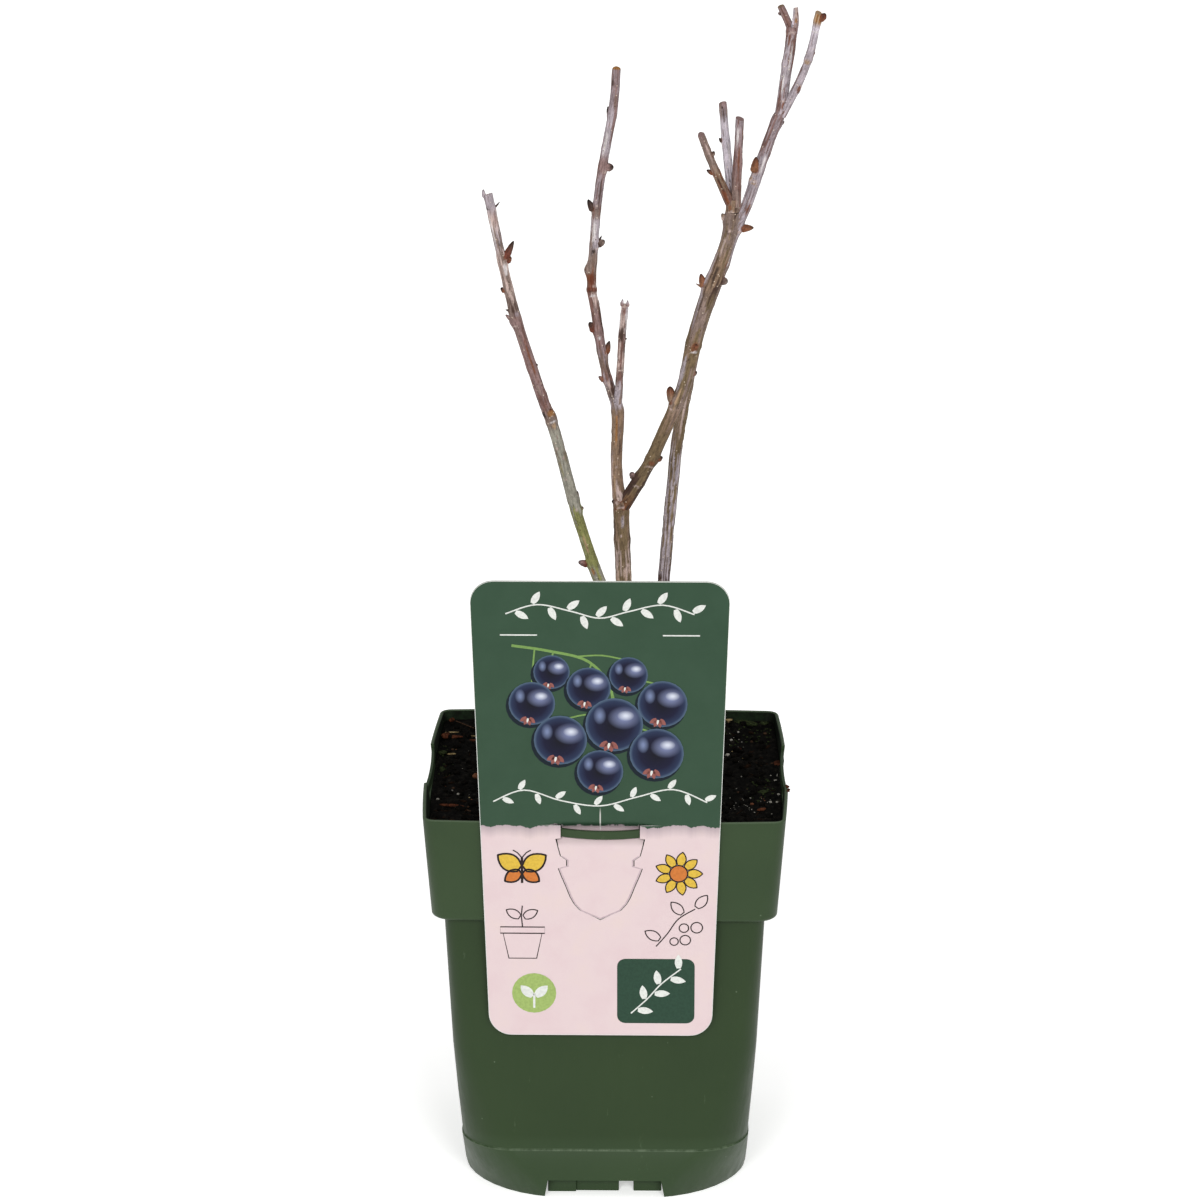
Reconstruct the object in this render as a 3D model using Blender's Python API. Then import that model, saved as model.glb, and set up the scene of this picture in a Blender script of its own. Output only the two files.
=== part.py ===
# Potted blackcurrant bush in winter: a square nursery pot with a deep collar, its
# compost, a printed plant card hooked on the pot's front strap, and a bare bush.
# Metres, +Z up. The origin is the centre of the pot's foot, on the ground, and the
# card side of the pot faces -Y.

import math
import random

import bmesh
import bpy
from mathutils import Vector

MM = 0.001
GAP = 0.3 * MM                    # clearance between solids that touch

# Pot
POT_HEIGHT = 151.3 * MM
RIM_HALF = 65.0 * MM              # half the rim's width, corner to corner side
WALL = 1.3 * MM
COLLAR_FOOT = 112.0 * MM          # height of the collar's lower edge
COLLAR_HALF = 62.4 * MM           # half width of the collar at its lower edge
COLLAR_FILLET = 2.0 * MM
COLLAR_INNER_RING = 138.0 * MM    # a section of the inside wall, under the slits
BODY_TOP_HALF = 58.0 * MM
BODY_LOW = 39.0 * MM
BODY_LOW_HALF = 54.3 * MM
BODY_MID = 60.0 * MM
BODY_MID_HALF = 55.6 * MM
STEP_HEIGHT = 19.2 * MM           # the line round the foot of the body
STEP_HALF = 53.3 * MM
STEP_DEPTH = 0.35 * MM
FOOT_HALF = 52.8 * MM
FLOOR_UNDER = 8.0 * MM
SIDE_BULGE = 1.9 * MM             # how far a rim side bows out at its middle
FOOT_BULGE_SHARE = 0.4            # part of that bow which the collar's foot has
CORNER_AT_RIM = 4.6 * MM
CORNER_AT_COLLAR_FOOT = 6.6 * MM
CORNER_AT_BODY_TOP = 5.5 * MM
CORNER_AT_BODY_LOW = 14.0 * MM
CORNER_AT_BODY_MID = 9.0 * MM
CORNER_AT_STEP = 20.0 * MM
CORNER_AT_FOOT = 39.5 * MM

# Straps, one across a notch in the middle of each rim side, with a slit under each
STRAP_DROP = 1.7 * MM
STRAP_TALL = 3.1 * MM
STRAP_LENGTH = 46.0 * MM
STRAP_ROOT = 1.5 * MM             # how far a strap's end runs into the wall
STRAP_SKIN = 0.1 * MM
STRAP_STEPS = 18
STRAP_BOWS = (0.5 * MM, -1.0 * MM, 0.0, -1.0 * MM)   # card side, right, back, left
FRONT_STRAP_SAG = 1.4 * MM        # the card's weight pulls its strap down
SAG_REACH = 18.0 * MM
SLIT_TALL = 3.5 * MM
SLIT_LENGTH = 38.0 * MM

# Foot of the pot
NOTCH_TOP = 41.7 * MM
NOTCH_BOTTOM = 44.5 * MM
NOTCH_TALL = 7.0 * MM
INNER_FOOT_WALLS = (              # start, end, distance from the pot's middle
    (-21.0 * MM, -10.5 * MM, 47.3 * MM),
    (-10.6 * MM, 5.3 * MM, 46.3 * MM),
    (10.6 * MM, 21.0 * MM, 46.3 * MM),
)
PAD_RADIUS = 12.0 * MM
DRAIN_RADIUS = 5.0 * MM
DRAIN_OUT = 27.0 * MM

# Compost: its edge climbs the wall towards the back
COMPOST_EDGE = 143.8 * MM         # height of the edge at the middle of the side walls
COMPOST_CLIMB = 0.05
COMPOST_TOP = 143.6 * MM
COMPOST_FLAT_HALF = 34.0 * MM

# Card: flat in front of the collar, but for the neck that goes behind the strap
CARD_CENTRE_X = -1.3 * MM
CARD_THICK = 0.5 * MM
CARD_STAND_OFF = 0.6 * MM         # from the rim to the card's back
CARD_BOTTOM = 67.5 * MM
CARD_TOP = 244.0 * MM
CARD_LEAN = math.radians(5.5)
CARD_TOP_HALF = 45.4 * MM
CARD_BOTTOM_HALF = 40.5 * MM
CARD_TOP_CORNER = 8.2 * MM
CARD_BOTTOM_CORNER = 8.6 * MM
NECK_HALF = 13.9 * MM
NECK_THICK = 0.42 * MM            # a little under the card's, so its ends sink into it
NECK_OUT = 64.8 * MM              # distance from the pot's middle, behind the strap
NECK_RISE = 0.4 * MM              # the neck leaves the card's plane this far over the rim
NECK_ROOT = 1.9 * MM              # how far its ends run on in the card's plane
WINDOW_PLAY = 0.3 * MM
WINDOW_MARGIN = 0.7 * MM

# Limbs: a few places on each centre line (x, y, z) with the limb's radius there, in
# mm, then the buds as (height, side, length, width, lean). A side of 0 is right, 90
# back, 180 left and -90 the card side; the lean is degrees away from the limb's run.
RING_STEP = 4.5 * MM
LIMB_FACETS = 2                   # bevel resolution: 8 sides
BUD_SINK = 0.35
BUD_TAPER = 0.35
NODE_SWELL = 0.16                 # a node is this much thicker than its limb
NODE_REACH = 1.8 * MM
TWIG_STEPS = 7
TWIG_BEND = 0.15                  # mm, the seeded part of a twig's bow
SOIL_STAND = COMPOST_TOP / MM + 0.3

MAIN_STEM = {
    "course": [(7.3, 4.0, SOIL_STAND, 5.6), (7.3, 4.0, 148.0, 4.5), (7.5, 4.2, 155.0, 3.9),
               (7.3, 4.6, 190.0, 3.5), (6.1, 5.0, 222.0, 3.05), (4.9, 5.0, 252.0, 3.15)],
    "buds": [(176.0, 20, 2.2, 2.4, 37), (212.0, -150, 2.0, 2.2, 37), (236.0, 80, 2.4, 2.2, 37)],
}
LEFT_BOUGH = {
    "course": [(7.4, 4.6, 187.0, 2.4), (3.6, 4.4, 203.0, 2.45), (-3.7, 3.0, 223.5, 2.15),
               (-8.8, 0.7, 240.0, 2.05), (-11.5, -1.5, 249.8, 2.05), (-18.3, -6.0, 278.0, 2.0),
               (-24.3, -9.5, 296.6, 1.85), (-32.4, -14.0, 324.1, 1.8), (-38.1, -18.0, 351.0, 1.6),
               (-41.8, -21.0, 370.0, 1.55)],
    "buds": [(345.6, -5, 7.3, 2.1, 24), (333.8, 175, 2.2, 2.0, 37), (322.4, 170, 2.6, 2.4, 37),
             (288.0, -60, 2.2, 2.0, 50), (228.0, 185, 4.0, 2.2, 37)],
}
CENTRE_BOUGH = {
    "course": [(4.9, 5.0, 252.0, 2.9), (3.9, 5.5, 256.5, 2.35), (3.4, 6.0, 266.0, 2.1),
               (3.9, 6.8, 283.8, 2.35), (1.6, 7.4, 291.5, 1.75), (-0.5, 8.2, 298.5, 1.65),
               (-2.0, 9.0, 305.6, 1.7), (-3.3, 10.0, 314.4, 1.65), (-4.7, 11.0, 323.0, 1.75),
               (-5.6, 11.6, 328.5, 1.7), (-5.2, 13.0, 340.3, 1.6), (-2.9, 15.0, 366.3, 1.6),
               (1.8, 16.0, 392.3, 1.6), (3.1, 16.0, 407.6, 1.5)],
    "buds": [(391.5, 180, 3.2, 1.2, 12), (372.5, 0, 3.0, 2.8, 80), (357.0, 180, 4.2, 2.2, 37),
             (344.5, 0, 4.2, 2.4, 37), (337.0, 180, 2.0, 2.0, 40), (314.5, 180, 3.2, 2.0, 37),
             (305.0, 0, 4.4, 1.8, 28), (296.0, 190, 2.2, 1.8, 40)],
}
RIGHT_BOUGH = {
    "course": [(4.9, 5.0, 247.0, 2.0), (8.4, 3.6, 253.6, 2.35), (14.9, 0.5, 265.2, 2.2),
               (20.0, -2.0, 277.1, 2.3), (27.5, -4.0, 295.5, 2.4), (31.5, -6.0, 313.7, 2.8),
               (36.6, -8.0, 331.7, 2.8), (42.7, -10.0, 349.6, 2.45), (44.6, -11.0, 361.5, 2.35)],
    "buds": [(259.6, 180, 3.0, 2.2, 60), (268.8, 0, 2.4, 2.4, 37), (289.0, 182, 7.0, 2.6, 28),
             (301.5, -10, 1.8, 1.8, 37), (312.5, -80, 2.0, 2.2, 60), (333.0, 178, 5.0, 1.8, 60),
             (337.0, 0, 2.8, 2.8, 75), (359.0, 180, 2.0, 2.2, 45)],
}
BACK_STEM = {
    "course": [(16.5, 14.5, SOIL_STAND, 4.4), (16.5, 14.5, 147.5, 3.5), (16.8, 14.8, 154.0, 2.8),
               (18.6, 17.2, 185.0, 2.45), (21.1, 20.2, 220.0, 2.2), (23.9, 23.0, 252.5, 2.2),
               (26.0, 25.0, 271.0, 2.2), (32.6, 28.2, 306.0, 2.15), (41.4, 31.0, 331.4, 2.15),
               (45.4, 32.0, 344.0, 2.1), (50.8, 33.5, 356.2, 2.0), (55.9, 35.0, 371.4, 2.05),
               (60.7, 36.5, 384.4, 2.05), (62.5, 37.0, 388.4, 1.95)],
    "buds": [(196.0, 120, 2.6, 2.4, 37), (243.0, 70, 2.4, 2.2, 37), (289.0, 100, 3.0, 2.4, 37),
             (334.0, 90, 3.0, 2.4, 37), (347.5, 0, 4.6, 2.5, 62), (366.5, -120, 5.1, 2.7, 20),
             (386.0, 0, 2.0, 2.4, 37)],
}

# Twig masses: the stem goes on from a limb's tip. A twig starts inside the stem and
# has its tip given from the stem's end (right, back, up) in mm; its buds are as above,
# but with a share of the twig's rise in place of a height.
PRUNED_HEAD = {
    "seed": 11,
    "stem": [(44.6, -11.0, 361.5, 2.35), (44.8, -11.0, 366.0, 2.3)],
    "twigs": [
        {"foot": (44.0, -11.0, 364.2), "tip": (-11.65, -10.0, 25.3), "radii": (1.5, 1.0),
         "bow": -0.3, "buds": [(0.46, 180, 3.0, 1.8, 37), (0.69, 0, 1.8, 1.6, 37)]},
        {"foot": (44.8, -10.6, 363.8), "tip": (-3.8, 13.0, 32.5), "radii": (1.5, 1.2),
         "bow": -0.4, "buds": [(0.62, 180, 2.0, 1.4, 37)]},
        {"foot": (45.8, -11.2, 363.4), "tip": (2.2, -3.0, 29.9), "radii": (1.65, 1.3),
         "bow": -0.1, "buds": [(0.5, 60, 2.4, 1.8, 37)]},
    ],
}
TALL_TOP = {
    "seed": 23,
    "stem": [(62.5, 37.0, 388.4, 1.95), (63.2, 37.4, 393.5, 1.65), (64.2, 38.0, 401.8, 1.65),
             (65.6, 38.6, 411.0, 1.7), (66.5, 39.0, 420.0, 1.8)],
    "twigs": [
        {"foot": (66.3, 39.0, 418.6), "tip": (-4.5, 1.0, 7.2), "radii": (1.2, 1.1),
         "bow": 0.0, "buds": []},
        {"foot": (66.5, 39.0, 418.9), "tip": (0.9, -0.5, 6.2), "radii": (1.15, 0.9),
         "bow": 0.2, "buds": []},
        {"foot": (64.2, 37.0, 389.5), "tip": (9.2, -9.0, 7.2), "radii": (1.35, 1.1),
         "bow": 2.2, "buds": [(0.6, 20, 2.2, 1.6, 37), (0.93, 0, 2.4, 2.0, 70)]},
    ],
}
TORN_TWIG = {
    "seed": 5,
    "stem": [(3.9, 6.4, 287.0, 1.5), (4.4, 5.2, 296.0, 1.4), (4.9, 3.9, 304.0, 1.3),
             (5.4, 2.6, 312.0, 1.3), (6.1, 1.0, 321.0, 1.35), (6.4, 0.3, 326.2, 1.2)],
    "twigs": [],
}


def empty_scene():
    for obj in list(bpy.data.objects):
        bpy.data.objects.remove(obj, do_unlink=True)


def new_collection(name):
    collection = bpy.data.collections.new(name)
    bpy.context.scene.collection.children.link(collection)
    return collection


def plain_material(name, colour, roughness):
    material = bpy.data.materials.new(name)
    material.use_nodes = True
    shader = material.node_tree.nodes["Principled BSDF"]
    shader.inputs["Base Color"].default_value = (*colour, 1.0)
    shader.inputs["Roughness"].default_value = roughness
    shader.inputs["Metallic"].default_value = 0.0
    return material


def add_object(name, bm, collection, material=None):
    """Make an object from a bmesh, with its faces pointing out."""
    bmesh.ops.recalc_face_normals(bm, faces=bm.faces)
    mesh = bpy.data.meshes.new(name)
    bm.to_mesh(mesh)
    bm.free()
    obj = bpy.data.objects.new(name, mesh)
    collection.objects.link(obj)
    if material:
        mesh.materials.append(material)
    return obj


def as_helper(obj):
    """Mark an object that only cuts or joins others."""
    obj.hide_render = True
    obj.display_type = "WIRE"
    return obj


def boolean(obj, name, operand, operation):
    """Add a Boolean with an object or a whole collection."""
    modifier = obj.modifiers.new(name, "BOOLEAN")
    modifier.operation = operation
    if isinstance(operand, bpy.types.Collection):
        modifier.operand_type = "COLLECTION"
        modifier.collection = operand
    else:
        modifier.object = operand


def apply_modifiers(obj):
    depsgraph = bpy.context.evaluated_depsgraph_get()
    mesh = bpy.data.meshes.new_from_object(obj.evaluated_get(depsgraph))
    obj.modifiers.clear()
    obj.data = mesh


def shade_round(obj, angle=35):
    obj.data.shade_smooth()
    obj.data.set_sharp_from_angle(angle=math.radians(angle))


def box(name, low, high, collection):
    """A box between two corners."""
    bm = bmesh.new()
    bmesh.ops.create_cube(bm, size=1.0)
    low, high = Vector(low), Vector(high)
    bmesh.ops.scale(bm, vec=high - low, verts=bm.verts)
    bmesh.ops.translate(bm, vec=(low + high) / 2, verts=bm.verts)
    return add_object(name, bm, collection)


def cylinder(name, centre, radius, low, high, collection, segments=24):
    bm = bmesh.new()
    bmesh.ops.create_cone(bm, cap_ends=True, segments=segments, radius1=radius,
                          radius2=radius, depth=high - low)
    bmesh.ops.translate(bm, vec=(centre[0], centre[1], (low + high) / 2), verts=bm.verts)
    return add_object(name, bm, collection)


def loft(name, rings, collection, material=None):
    """Skin a row of closed sections with equal counts of points, capped at both ends."""
    bm = bmesh.new()
    loops = [[bm.verts.new(point) for point in ring] for ring in rings]
    count = len(rings[0])
    for lower, upper in zip(loops, loops[1:]):
        for i in range(count):
            j = (i + 1) % count
            bm.faces.new((lower[i], lower[j], upper[j], upper[i]))
    bm.faces.new(loops[0])
    bm.faces.new(loops[-1])
    return add_object(name, bm, collection, material)


def turned(point, quarter):
    """Turn a point about the pot's axis by a number of quarter turns."""
    x, y, z = point
    for _ in range(quarter):
        x, y = -y, x
    return (x, y, z)


def rounded_square(height, half, corner, bulge=0.0, corner_steps=5, side_steps=4):
    """One section of the pot: rounded corners, and sides that bow out by the bulge."""
    straight = half - corner
    points = []
    for quarter in range(4):
        for step in range(1, side_steps):
            x = -straight + 2 * straight * step / side_steps
            y = -half - bulge * (1 - (x / straight) ** 2)
            points.append(turned((x, y, height), quarter))
        for step in range(corner_steps + 1):
            angle = -math.pi / 2 + math.pi / 2 * step / corner_steps
            x = straight + corner * math.cos(angle)
            y = -straight + corner * math.sin(angle)
            points.append(turned((x, y, height), quarter))
    return points


def collar_blend(height):
    """Half width, corner radius and bow of the collar's outside at a height."""
    share = (height - COLLAR_FOOT) / (POT_HEIGHT - COLLAR_FOOT)
    half = COLLAR_HALF + (RIM_HALF - COLLAR_HALF) * share
    corner = CORNER_AT_COLLAR_FOOT + (CORNER_AT_RIM - CORNER_AT_COLLAR_FOOT) * share
    bulge = SIDE_BULGE * (FOOT_BULGE_SHARE + (1 - FOOT_BULGE_SHARE) * share)
    return half, corner, bulge


def collar_out(height, x):
    """Distance from the pot's middle to the outside of a collar side."""
    half, corner, bulge = collar_blend(height)
    return half + bulge * (1 - (x / (half - corner)) ** 2)


def foot_blend(height):
    """Half width and corner radius of the foot band, between the ground and the step."""
    share = height / STEP_HEIGHT
    half = FOOT_HALF + (STEP_HALF - FOOT_HALF) * share
    corner = CORNER_AT_FOOT + (CORNER_AT_STEP - CORNER_AT_FOOT) * share
    return half, corner


def inner_sections(inset):
    """The pot's inside from its floor up to the rim, pulled in by an inset."""
    drop = WALL + inset
    floor = FLOOR_UNDER + drop
    floor_half, floor_corner = foot_blend(floor)
    shelf = COLLAR_FOOT + WALL + inset
    foot_bulge = SIDE_BULGE * FOOT_BULGE_SHARE
    ring_half, ring_corner, ring_bulge = collar_blend(COLLAR_INNER_RING)
    return [
        rounded_square(floor, floor_half - drop - WALL, floor_corner - drop - WALL),
        rounded_square(floor + WALL, floor_half - drop, floor_corner - drop),
        rounded_square(STEP_HEIGHT, STEP_HALF - STEP_DEPTH - drop, CORNER_AT_STEP - drop),
        rounded_square(BODY_LOW, BODY_LOW_HALF - drop, CORNER_AT_BODY_LOW - drop),
        rounded_square(BODY_MID, BODY_MID_HALF - drop, CORNER_AT_BODY_MID - drop),
        rounded_square(shelf, BODY_TOP_HALF - drop, CORNER_AT_BODY_TOP - drop),
        rounded_square(shelf, COLLAR_HALF - drop - COLLAR_FILLET, CORNER_AT_COLLAR_FOOT - drop,
                       foot_bulge),
        rounded_square(shelf + COLLAR_FILLET, COLLAR_HALF - drop, CORNER_AT_COLLAR_FOOT - drop,
                       foot_bulge),
        rounded_square(COLLAR_INNER_RING, ring_half - drop, ring_corner - drop, ring_bulge),
        rounded_square(POT_HEIGHT, RIM_HALF - drop, CORNER_AT_RIM - drop, SIDE_BULGE),
    ]


def pot_shell(collection, material):
    """The moulded wall: under the floor, down the skirt, up outside and down inside."""
    under_half, under_corner = foot_blend(FLOOR_UNDER)
    foot_bulge = SIDE_BULGE * FOOT_BULGE_SHARE
    outside = [
        rounded_square(FLOOR_UNDER, under_half - WALL, under_corner - WALL),
        rounded_square(0.0, FOOT_HALF - WALL, CORNER_AT_FOOT - WALL),
        rounded_square(0.0, FOOT_HALF, CORNER_AT_FOOT),
        rounded_square(STEP_HEIGHT, STEP_HALF, CORNER_AT_STEP),
        rounded_square(STEP_HEIGHT + STEP_DEPTH, STEP_HALF - STEP_DEPTH, CORNER_AT_STEP),
        rounded_square(BODY_LOW, BODY_LOW_HALF, CORNER_AT_BODY_LOW),
        rounded_square(BODY_MID, BODY_MID_HALF, CORNER_AT_BODY_MID),
        rounded_square(COLLAR_FOOT, BODY_TOP_HALF, CORNER_AT_BODY_TOP),
        rounded_square(COLLAR_FOOT, COLLAR_HALF - COLLAR_FILLET, CORNER_AT_COLLAR_FOOT, foot_bulge),
        rounded_square(COLLAR_FOOT + COLLAR_FILLET * 0.35, COLLAR_HALF - COLLAR_FILLET * 0.3,
                       CORNER_AT_COLLAR_FOOT, foot_bulge),
        rounded_square(COLLAR_FOOT + COLLAR_FILLET, COLLAR_HALF, CORNER_AT_COLLAR_FOOT, foot_bulge),
        rounded_square(POT_HEIGHT, RIM_HALF, CORNER_AT_RIM, SIDE_BULGE),
    ]
    return loft("pot", outside + inner_sections(0.0)[::-1], collection, material)


def strap(side, bow, sag, collection):
    """A bar across the notch in a rim side; it may bow out or in, and sag."""
    reach = STRAP_LENGTH / 2 + STRAP_ROOT
    rings = []
    for step in range(STRAP_STEPS + 1):
        x = -reach + 2 * reach * step / STRAP_STEPS
        push = bow * max(0.0, 1 - (2 * x / STRAP_LENGTH) ** 2)
        top = POT_HEIGHT - STRAP_DROP - sag * max(0.0, 1 - (x / SAG_REACH) ** 2)
        low = top - STRAP_TALL - STRAP_SKIN
        ring = []
        for height, depth in ((low, STRAP_SKIN), (top, STRAP_SKIN), (top, WALL - STRAP_SKIN),
                              (low, WALL - STRAP_SKIN)):
            ring.append(turned((x, -(collar_out(height, x) + push - depth), height), side))
        rings.append(ring)
    as_helper(loft("strap_bar", rings, collection))


def notch_cutter(collection, side):
    """The gap in the skirt: a trapezium, wider at the ground."""
    inner, outer = FOOT_HALF - 4.0 * MM, FOOT_HALF + 4.0 * MM
    rings = []
    for depth in (inner, outer):
        corners = ((-NOTCH_BOTTOM / 2, -1.0 * MM), (NOTCH_BOTTOM / 2, -1.0 * MM),
                   (NOTCH_TOP / 2, NOTCH_TALL), (-NOTCH_TOP / 2, NOTCH_TALL))
        rings.append([turned((x, -depth, z), side) for x, z in corners])
    as_helper(loft("notch_cutter", rings, collection))


def sided_box(name, x_low, x_high, out_low, out_high, z_low, z_high, side, collection):
    """A box given for the card side of the pot, turned to another side."""
    a = turned((x_low, -out_high, z_low), side)
    b = turned((x_high, -out_low, z_high), side)
    low = [min(p, q) for p, q in zip(a, b)]
    high = [max(p, q) for p, q in zip(a, b)]
    return as_helper(box(name, low, high, collection))


def build_pot(collection):
    material = plain_material("Moulded polypropylene, dark green", (0.045, 0.105, 0.045), 0.42)
    pot = pot_shell(collection, material)
    cuts = new_collection("Pot notches")
    joins = new_collection("Pot straps and feet")
    drills = new_collection("Pot drain holes")
    strap_low = POT_HEIGHT - STRAP_DROP - STRAP_TALL
    cut_low, cut_high = RIM_HALF - 5 * MM, RIM_HALF + 5 * MM
    for side, bow in enumerate(STRAP_BOWS):
        sided_box("strap_notch", -STRAP_LENGTH / 2, STRAP_LENGTH / 2, cut_low, cut_high,
                  strap_low, POT_HEIGHT + 5 * MM, side, cuts)
        sided_box("strap_slit", -SLIT_LENGTH / 2, SLIT_LENGTH / 2, cut_low, cut_high,
                  strap_low - SLIT_TALL, strap_low + 1 * MM, side, cuts)
        notch_cutter(cuts, side)
        strap(side, bow, FRONT_STRAP_SAG if side == 0 else 0.0, joins)
        for start, end, out in INNER_FOOT_WALLS:
            sided_box("inner_foot", start, end, out - WALL, out, 0.0, FLOOR_UNDER + WALL / 2,
                      side, joins)
        place = turned((DRAIN_OUT, -DRAIN_OUT, 0.0), side)
        as_helper(cylinder("drain_hole", place, DRAIN_RADIUS, FLOOR_UNDER - 2 * MM,
                           FLOOR_UNDER + 4 * MM, drills, segments=16))
    as_helper(cylinder("centre_pad", (0, 0), PAD_RADIUS, 0.0, FLOOR_UNDER + WALL / 2, joins))
    as_helper(cylinder("pad_dish", (0, 0), PAD_RADIUS - WALL, WALL, FLOOR_UNDER + 4 * MM, drills))
    boolean(pot, "Notches and slits", cuts, "DIFFERENCE")
    boolean(pot, "Straps, feet and pad", joins, "UNION")
    boolean(pot, "Drain holes and dish", drills, "DIFFERENCE")
    return pot


def compost_edge(low_ring, rim_ring):
    """The fill's edge, on the inside wall and higher towards the back."""
    edge = []
    for low, rim in zip(low_ring, rim_ring):
        height = COMPOST_EDGE + COMPOST_CLIMB * rim[1]
        share = (height - low[2]) / (rim[2] - low[2])
        edge.append(Vector(low).lerp(Vector(rim), share))
    return edge


def build_compost(collection):
    """The filled root ball: it follows the pot's inside and has a flat top."""
    material = plain_material("Peat and bark compost", (0.012, 0.010, 0.008), 0.95)
    rings = inner_sections(GAP)
    rings[-1] = compost_edge(rings[-2], rings[-1])
    rings.append(rounded_square(COMPOST_TOP, COMPOST_FLAT_HALF, COMPOST_FLAT_HALF * 0.5))
    compost = loft("compost", rings, collection, material)
    plugs = new_collection("Compost plug")
    as_helper(cylinder("pad_plug", (0, 0), PAD_RADIUS - WALL - GAP, WALL + GAP,
                       FLOOR_UNDER + 6 * MM, plugs))
    boolean(compost, "Plug in the pad's dish", plugs, "UNION")
    return compost


def card_outline():
    """Points round the card in its own plane: x across, y up from its lower edge."""
    tall = (CARD_TOP - CARD_BOTTOM) / math.cos(CARD_LEAN)
    corners = (
        (CARD_BOTTOM_HALF, 0.0, CARD_BOTTOM_CORNER, -90),
        (CARD_TOP_HALF, tall, CARD_TOP_CORNER, 0),
        (-CARD_TOP_HALF, tall, CARD_TOP_CORNER, 90),
        (-CARD_BOTTOM_HALF, 0.0, CARD_BOTTOM_CORNER, 180),
    )
    steps = 8
    points = []
    for x, y, radius, start in corners:
        centre_x = x - math.copysign(radius, x)
        centre_y = y + (radius if y == 0.0 else -radius)
        for step in range(steps + 1):
            angle = math.radians(start + 90 * step / steps)
            points.append((centre_x + radius * math.cos(angle), centre_y + radius * math.sin(angle)))
    return points


def card_plane(across, up, off=0.0):
    """A place on the card's back, or off it towards the front."""
    height = CARD_BOTTOM + up * math.cos(CARD_LEAN)
    out = RIM_HALF + SIDE_BULGE + CARD_STAND_OFF + (height - POT_HEIGHT) * math.tan(CARD_LEAN)
    return (CARD_CENTRE_X + across, -(out + off * math.cos(CARD_LEAN)),
            height - off * math.sin(CARD_LEAN))


def card_middle(height):
    """A place in the middle of the card's thickness at a height, as (out, height)."""
    up = (height - CARD_BOTTOM) / math.cos(CARD_LEAN)
    x, y, z = card_plane(0.0, up, CARD_THICK / 2)
    return Vector((-y, z))


def neck_sections():
    """Sections of the neck, from the card's plane behind the strap and out again."""
    strap_top = POT_HEIGHT - STRAP_DROP
    strap_low = strap_top - FRONT_STRAP_SAG - STRAP_TALL
    slit_low = strap_top - STRAP_TALL - SLIT_TALL
    leave = POT_HEIGHT + NECK_RISE
    meet = slit_low - 0.1 * MM
    path = [card_middle(leave + NECK_ROOT), card_middle(leave), Vector((NECK_OUT, strap_top)),
            Vector((NECK_OUT, strap_low + 0.1 * MM)), card_middle(meet), card_middle(meet - NECK_ROOT)]
    rings = []
    for i, place in enumerate(path):
        before = (place - path[i - 1]).normalized() if i > 0 else (path[1] - path[0]).normalized()
        after = (path[i + 1] - place).normalized() if i + 1 < len(path) else before
        along = (before + after).normalized()
        half = NECK_THICK / 2 / along.dot(after)
        across = Vector((-along.y, along.x)) * half
        ring = []
        for x, spot in ((-NECK_HALF, place - across), (NECK_HALF, place - across),
                        (NECK_HALF, place + across), (-NECK_HALF, place + across)):
            ring.append((CARD_CENTRE_X + x, -spot.x, spot.y))
        rings.append(ring)
    return rings, leave + WINDOW_MARGIN, meet - WINDOW_MARGIN


def build_card(collection):
    """A stiff sheet in front of the collar; its neck dips behind the front strap."""
    material = plain_material("Printed card", (0.62, 0.45, 0.42), 0.45)
    outline = card_outline()
    back = [card_plane(x, y) for x, y in outline]
    front = [card_plane(x, y, CARD_THICK) for x, y in outline]
    card = loft("plant_card", [back, front], collection, material)
    rings, window_top, window_low = neck_sections()
    reach = NECK_HALF + WINDOW_PLAY
    windows = new_collection("Card window")
    sided_box("card_window", CARD_CENTRE_X - reach, CARD_CENTRE_X + reach, RIM_HALF - 2 * MM,
              RIM_HALF + 8 * MM, window_low, window_top, 0, windows)
    necks = new_collection("Card neck")
    as_helper(loft("card_neck", rings, necks))
    boolean(card, "Window round the neck", windows, "DIFFERENCE")
    boolean(card, "Neck behind the strap", necks, "UNION")
    return card


def smooth_course(course):
    """Read a smooth curve through a limb's places, with a ring every few millimetres."""
    places = [Vector(p) * MM for p in (row[:3] for row in course)]
    radii = [row[3] * MM for row in course]
    smooth = []
    for i in range(len(places) - 1):
        before = places[i - 1] if i > 0 else 2 * places[0] - places[1]
        after = places[i + 2] if i + 2 < len(places) else 2 * places[-1] - places[-2]
        span = (places[i + 1] - places[i]).length
        steps = max(1, round(span / RING_STEP))
        for step in range(steps):
            t = step / steps
            point = 0.5 * (2 * places[i] + (places[i + 1] - before) * t
                           + (2 * before - 5 * places[i] + 4 * places[i + 1] - after) * t ** 2
                           + (3 * places[i] - before - 3 * places[i + 1] + after) * t ** 3)
            smooth.append((point, radii[i] + (radii[i + 1] - radii[i]) * t))
    smooth.append((places[-1], radii[-1]))
    return smooth


def swell_nodes(rings, heights):
    """Thicken the limb a little where a bud or a leaf scar sits."""
    swollen = []
    for point, radius in rings:
        extra = sum(math.exp(-((point.z - z * MM) / NODE_REACH) ** 2) for z in heights)
        swollen.append((point, radius * (1 + NODE_SWELL * min(1.0, extra))))
    return swollen


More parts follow.
